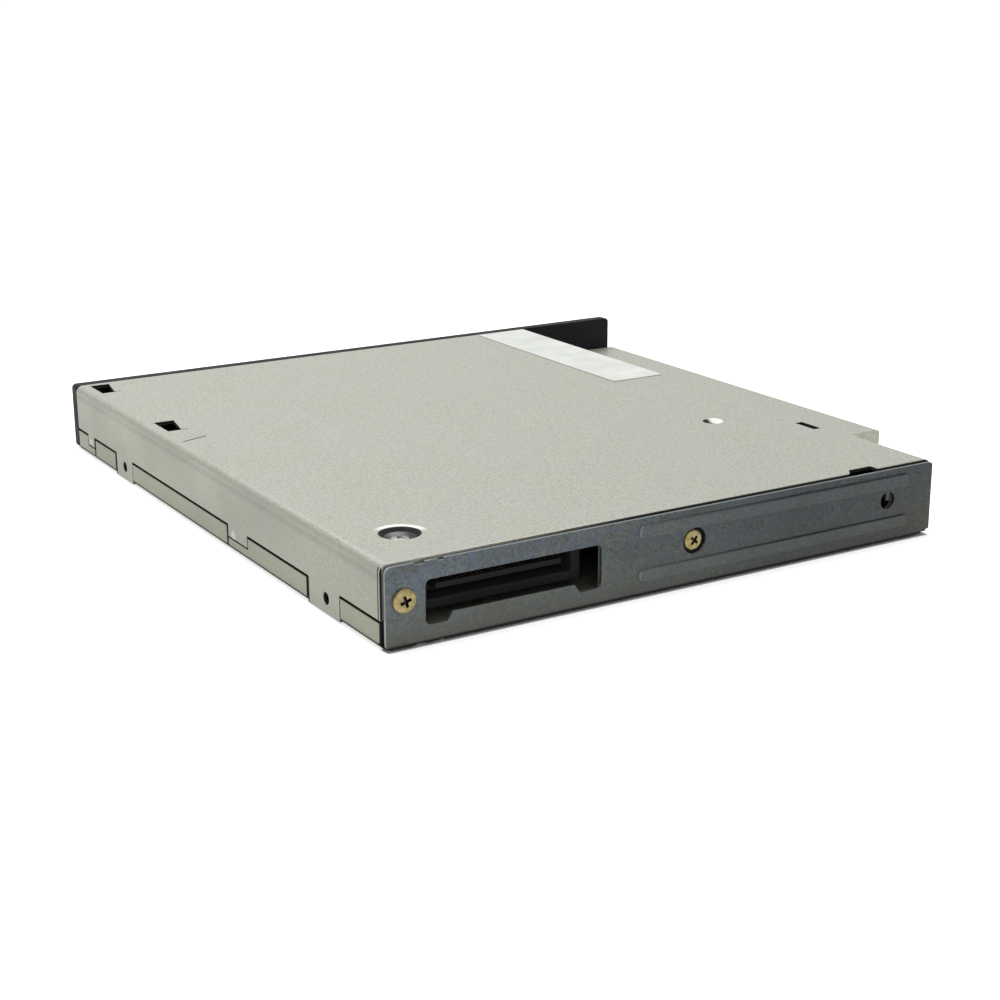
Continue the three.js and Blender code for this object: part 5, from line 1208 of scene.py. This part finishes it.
# How far the wire's middle and the core's face lie inside the shaft
COIL_SINK = 1.2 * THREAD_WIRE
CORE_SINK = 1.6 * THREAD_WIRE
PLAIN_ENDS = 4 * MM
screw_low, screw_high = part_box("lead_screw")
screw_radius = (screw_high.z - screw_low.z) / 2
screw_axis = Vector((-1, 1, 0)).normalized()
screw_length = (screw_high.x - screw_low.x) * math.sqrt(2) - 2 * screw_radius
thread_length = screw_length - 2 * PLAIN_ENDS
screw_mesh = outward(wound.grow(
    yellow_zinc, CoilRadius=screw_radius - COIL_SINK, WireRadius=THREAD_WIRE,
    Turns=thread_length / THREAD_PITCH, Height=thread_length,
    CoreRadius=screw_radius - CORE_SINK, CoreLength=screw_length))
thread_start = (screw_low + screw_high) / 2 - screw_axis * thread_length / 2
set_down(screw_mesh, thread_start, toward=screw_axis)
lead_screw = link_piece("lead_screw_threaded", screw_mesh, yellow_zinc, "lead_screw")
shade_by_angle(screw_mesh)
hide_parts("lead_screw")
print("the lead screw has", round(thread_length / THREAD_PITCH, 1), "turns of thread")


# %% [markdown]
# ## Turned shapes
# The objective lens is a small glass dome on a flange. A profile of (radius, height) steps is spun
# round an upright axis, which suits anything that a lathe or a lens grinder makes.

# %% Turn the lens
FLANGE = 0.3
DOME_EDGE = 0.86
DOME_STEPS = 8
TURNED_SIDES = 48


def lathed(profile, scale, toward, place):
    """A closed shape that is turned from a profile and scaled, with its top toward a direction."""
    shape = bmesh.new()
    line = [shape.verts.new((radius, 0, height)) for radius, height in profile]
    edges = [shape.edges.new(pair) for pair in zip(line, line[1:])]
    bmesh.ops.spin(shape, geom=line + edges, cent=(0, 0, 0), axis=(0, 0, 1), angle=2 * math.pi,
                   steps=TURNED_SIDES, use_duplicate=False)
    bmesh.ops.remove_doubles(shape, verts=shape.verts, dist=1e-5)
    bmesh.ops.scale(shape, vec=scale, verts=shape.verts)
    mesh = closed_mesh(shape, bpy.data.meshes.new("turned"))
    set_down(mesh, place, toward, up="Y")
    return mesh


lens_profile = [(0, 0), (1, 0), (1, FLANGE), (DOME_EDGE, FLANGE)]
for i in range(1, DOME_STEPS + 1):
    reach = DOME_EDGE * (1 - i / DOME_STEPS)
    lens_profile.append((reach, FLANGE + (1 - FLANGE) * (1 - (reach / DOME_EDGE) ** 2)))
lens_low, lens_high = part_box("objective_lens")
lens_middle = (lens_low + lens_high) / 2
lens_radius = (lens_high.x - lens_low.x) / 2
lens_mesh = lathed(lens_profile, (lens_radius, lens_radius, lens_high.z - lens_low.z), (0, 0, -1),
                   Vector((lens_middle.x, lens_middle.y, lens_high.z)))
lens = link_piece("objective_lens_turned", lens_mesh, lens_glass, nodes["objective_lens"]["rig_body"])
shade_by_angle(lens_mesh)
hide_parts("objective_lens")
print("the lens is", round(2 * lens_radius / MM, 2), "mm across")


# %% [markdown]
# Each of the two side clips carries a low pressed bump that catches the light beside the gaps, and its
# paler finish adds a painted highlight. The bumps stand only a little proud of the wall. Each is a turned
# dome that is stretched along the wall.

# %% Press the bumps of the clips
BUMP_PROFILE = [(0, -0.2), (1, -0.2), (1, 0.0), (0.86, 0.55), (0.6, 0.88), (0.3, 0.98), (0, 1)]
BUMP_PROUD = 0.14 * MM
# Each bump's place from the rear, its height on the wall, its half length and half height, in mm
CLIP_BUMPS = {"clip_bump_middle": (51.6, 2.9, 0.95, 0.75), "clip_bump_front": (119.8, 3.2, 0.85, 0.65)}
# Painted highlight: the bumps' sheet is paler than the chassis
BUMP_PAINTED_HIGHLIGHT = ((0.58, 0.58, 0.50), (0.30, 0.30, 0.25), (0.48, 0.50, 0.49))
burnished_steel = sheet_metal("burnished_steel", BUMP_PAINTED_HIGHLIGHT, 0.42, 0.5)
for name, (along, up, half_length, half_height) in CLIP_BUMPS.items():
    place = Vector((case_low.x, from_rear(along), up * MM))
    mesh = lathed(BUMP_PROFILE, (half_length * MM, half_height * MM, BUMP_PROUD), (-1, 0, 0), place)
    bump = link_piece(name, mesh, burnished_steel, "case")
    shade_by_angle(mesh)
    print(name, [round(v / MM, 2) for v in bump.dimensions], "mm")


# %% [markdown]
# ## Connector tongue
# The connector is a thin dark tongue with a row of gold contacts on each face. The contacts start a
# little way in, so the cut-out reads dark from the rear, as it does in the photograph.

# %% Fit the tongue and its contacts
TONGUE_SINK = 0.05 * MM
CONTACTS_EACH = 25
CONTACT_PITCH = 0.85 * MM
CONTACT_WIDTH = 0.42 * MM
CONTACT_START = 0.8 * MM
CONTACT_THICKNESS = 0.06 * MM


def contact_recipe():
    recipe = Recipe("contact_rows", Count=CONTACTS_EACH, Pitch=CONTACT_PITCH, Width=CONTACT_WIDTH,
                    Thickness=CONTACT_THICKNESS, Length=1.8 * MM, Apart=0.8 * MM)
    size = recipe.sizes
    blade = recipe.block(size["Width"], size["Length"], size["Thickness"])
    last = recipe.math("SUBTRACT", size["Count"], 1.0)
    first = recipe.math("MULTIPLY", last, size["Pitch"], -0.5)
    rows = []
    for side in (-0.5, 0.5):
        start = recipe.vector(first, 0.0, recipe.math("MULTIPLY", size["Apart"], side))
        line = recipe.step("GeometryNodeMeshLine", {
            "Count": size["Count"], "Start Location": start, "Offset": recipe.vector(size["Pitch"])},
            mode="OFFSET")
        rows.append(recipe.step("GeometryNodeInstanceOnPoints", {"Points": line, "Instance": blade}))
    return recipe.end(recipe.joined(*rows))


tongue_low, tongue_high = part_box("connector_contacts")
dressed("connector_contacts", 0.1 * MM, connector_plastic)
contact_length = tongue_high.y - tongue_low.y - CONTACT_START - TONGUE_SINK
contact_mesh = contact_recipe().grow(contact_gold, Length=contact_length,
                                     Apart=tongue_high.z - tongue_low.z)
contact_place = (tongue_low + tongue_high) / 2
contact_place.y = tongue_low.y + CONTACT_START + contact_length / 2
contact_mesh.transform(Matrix.Translation(contact_place))
link_piece("contact_blades", contact_mesh, contact_gold, "case")
print(2 * CONTACTS_EACH, "contacts on the tongue")


# %% [markdown]
# ## Size of the model
# The box of the CAD model was kept at the start, in cad_low and cad_high; the dressed part isn't
# measured.
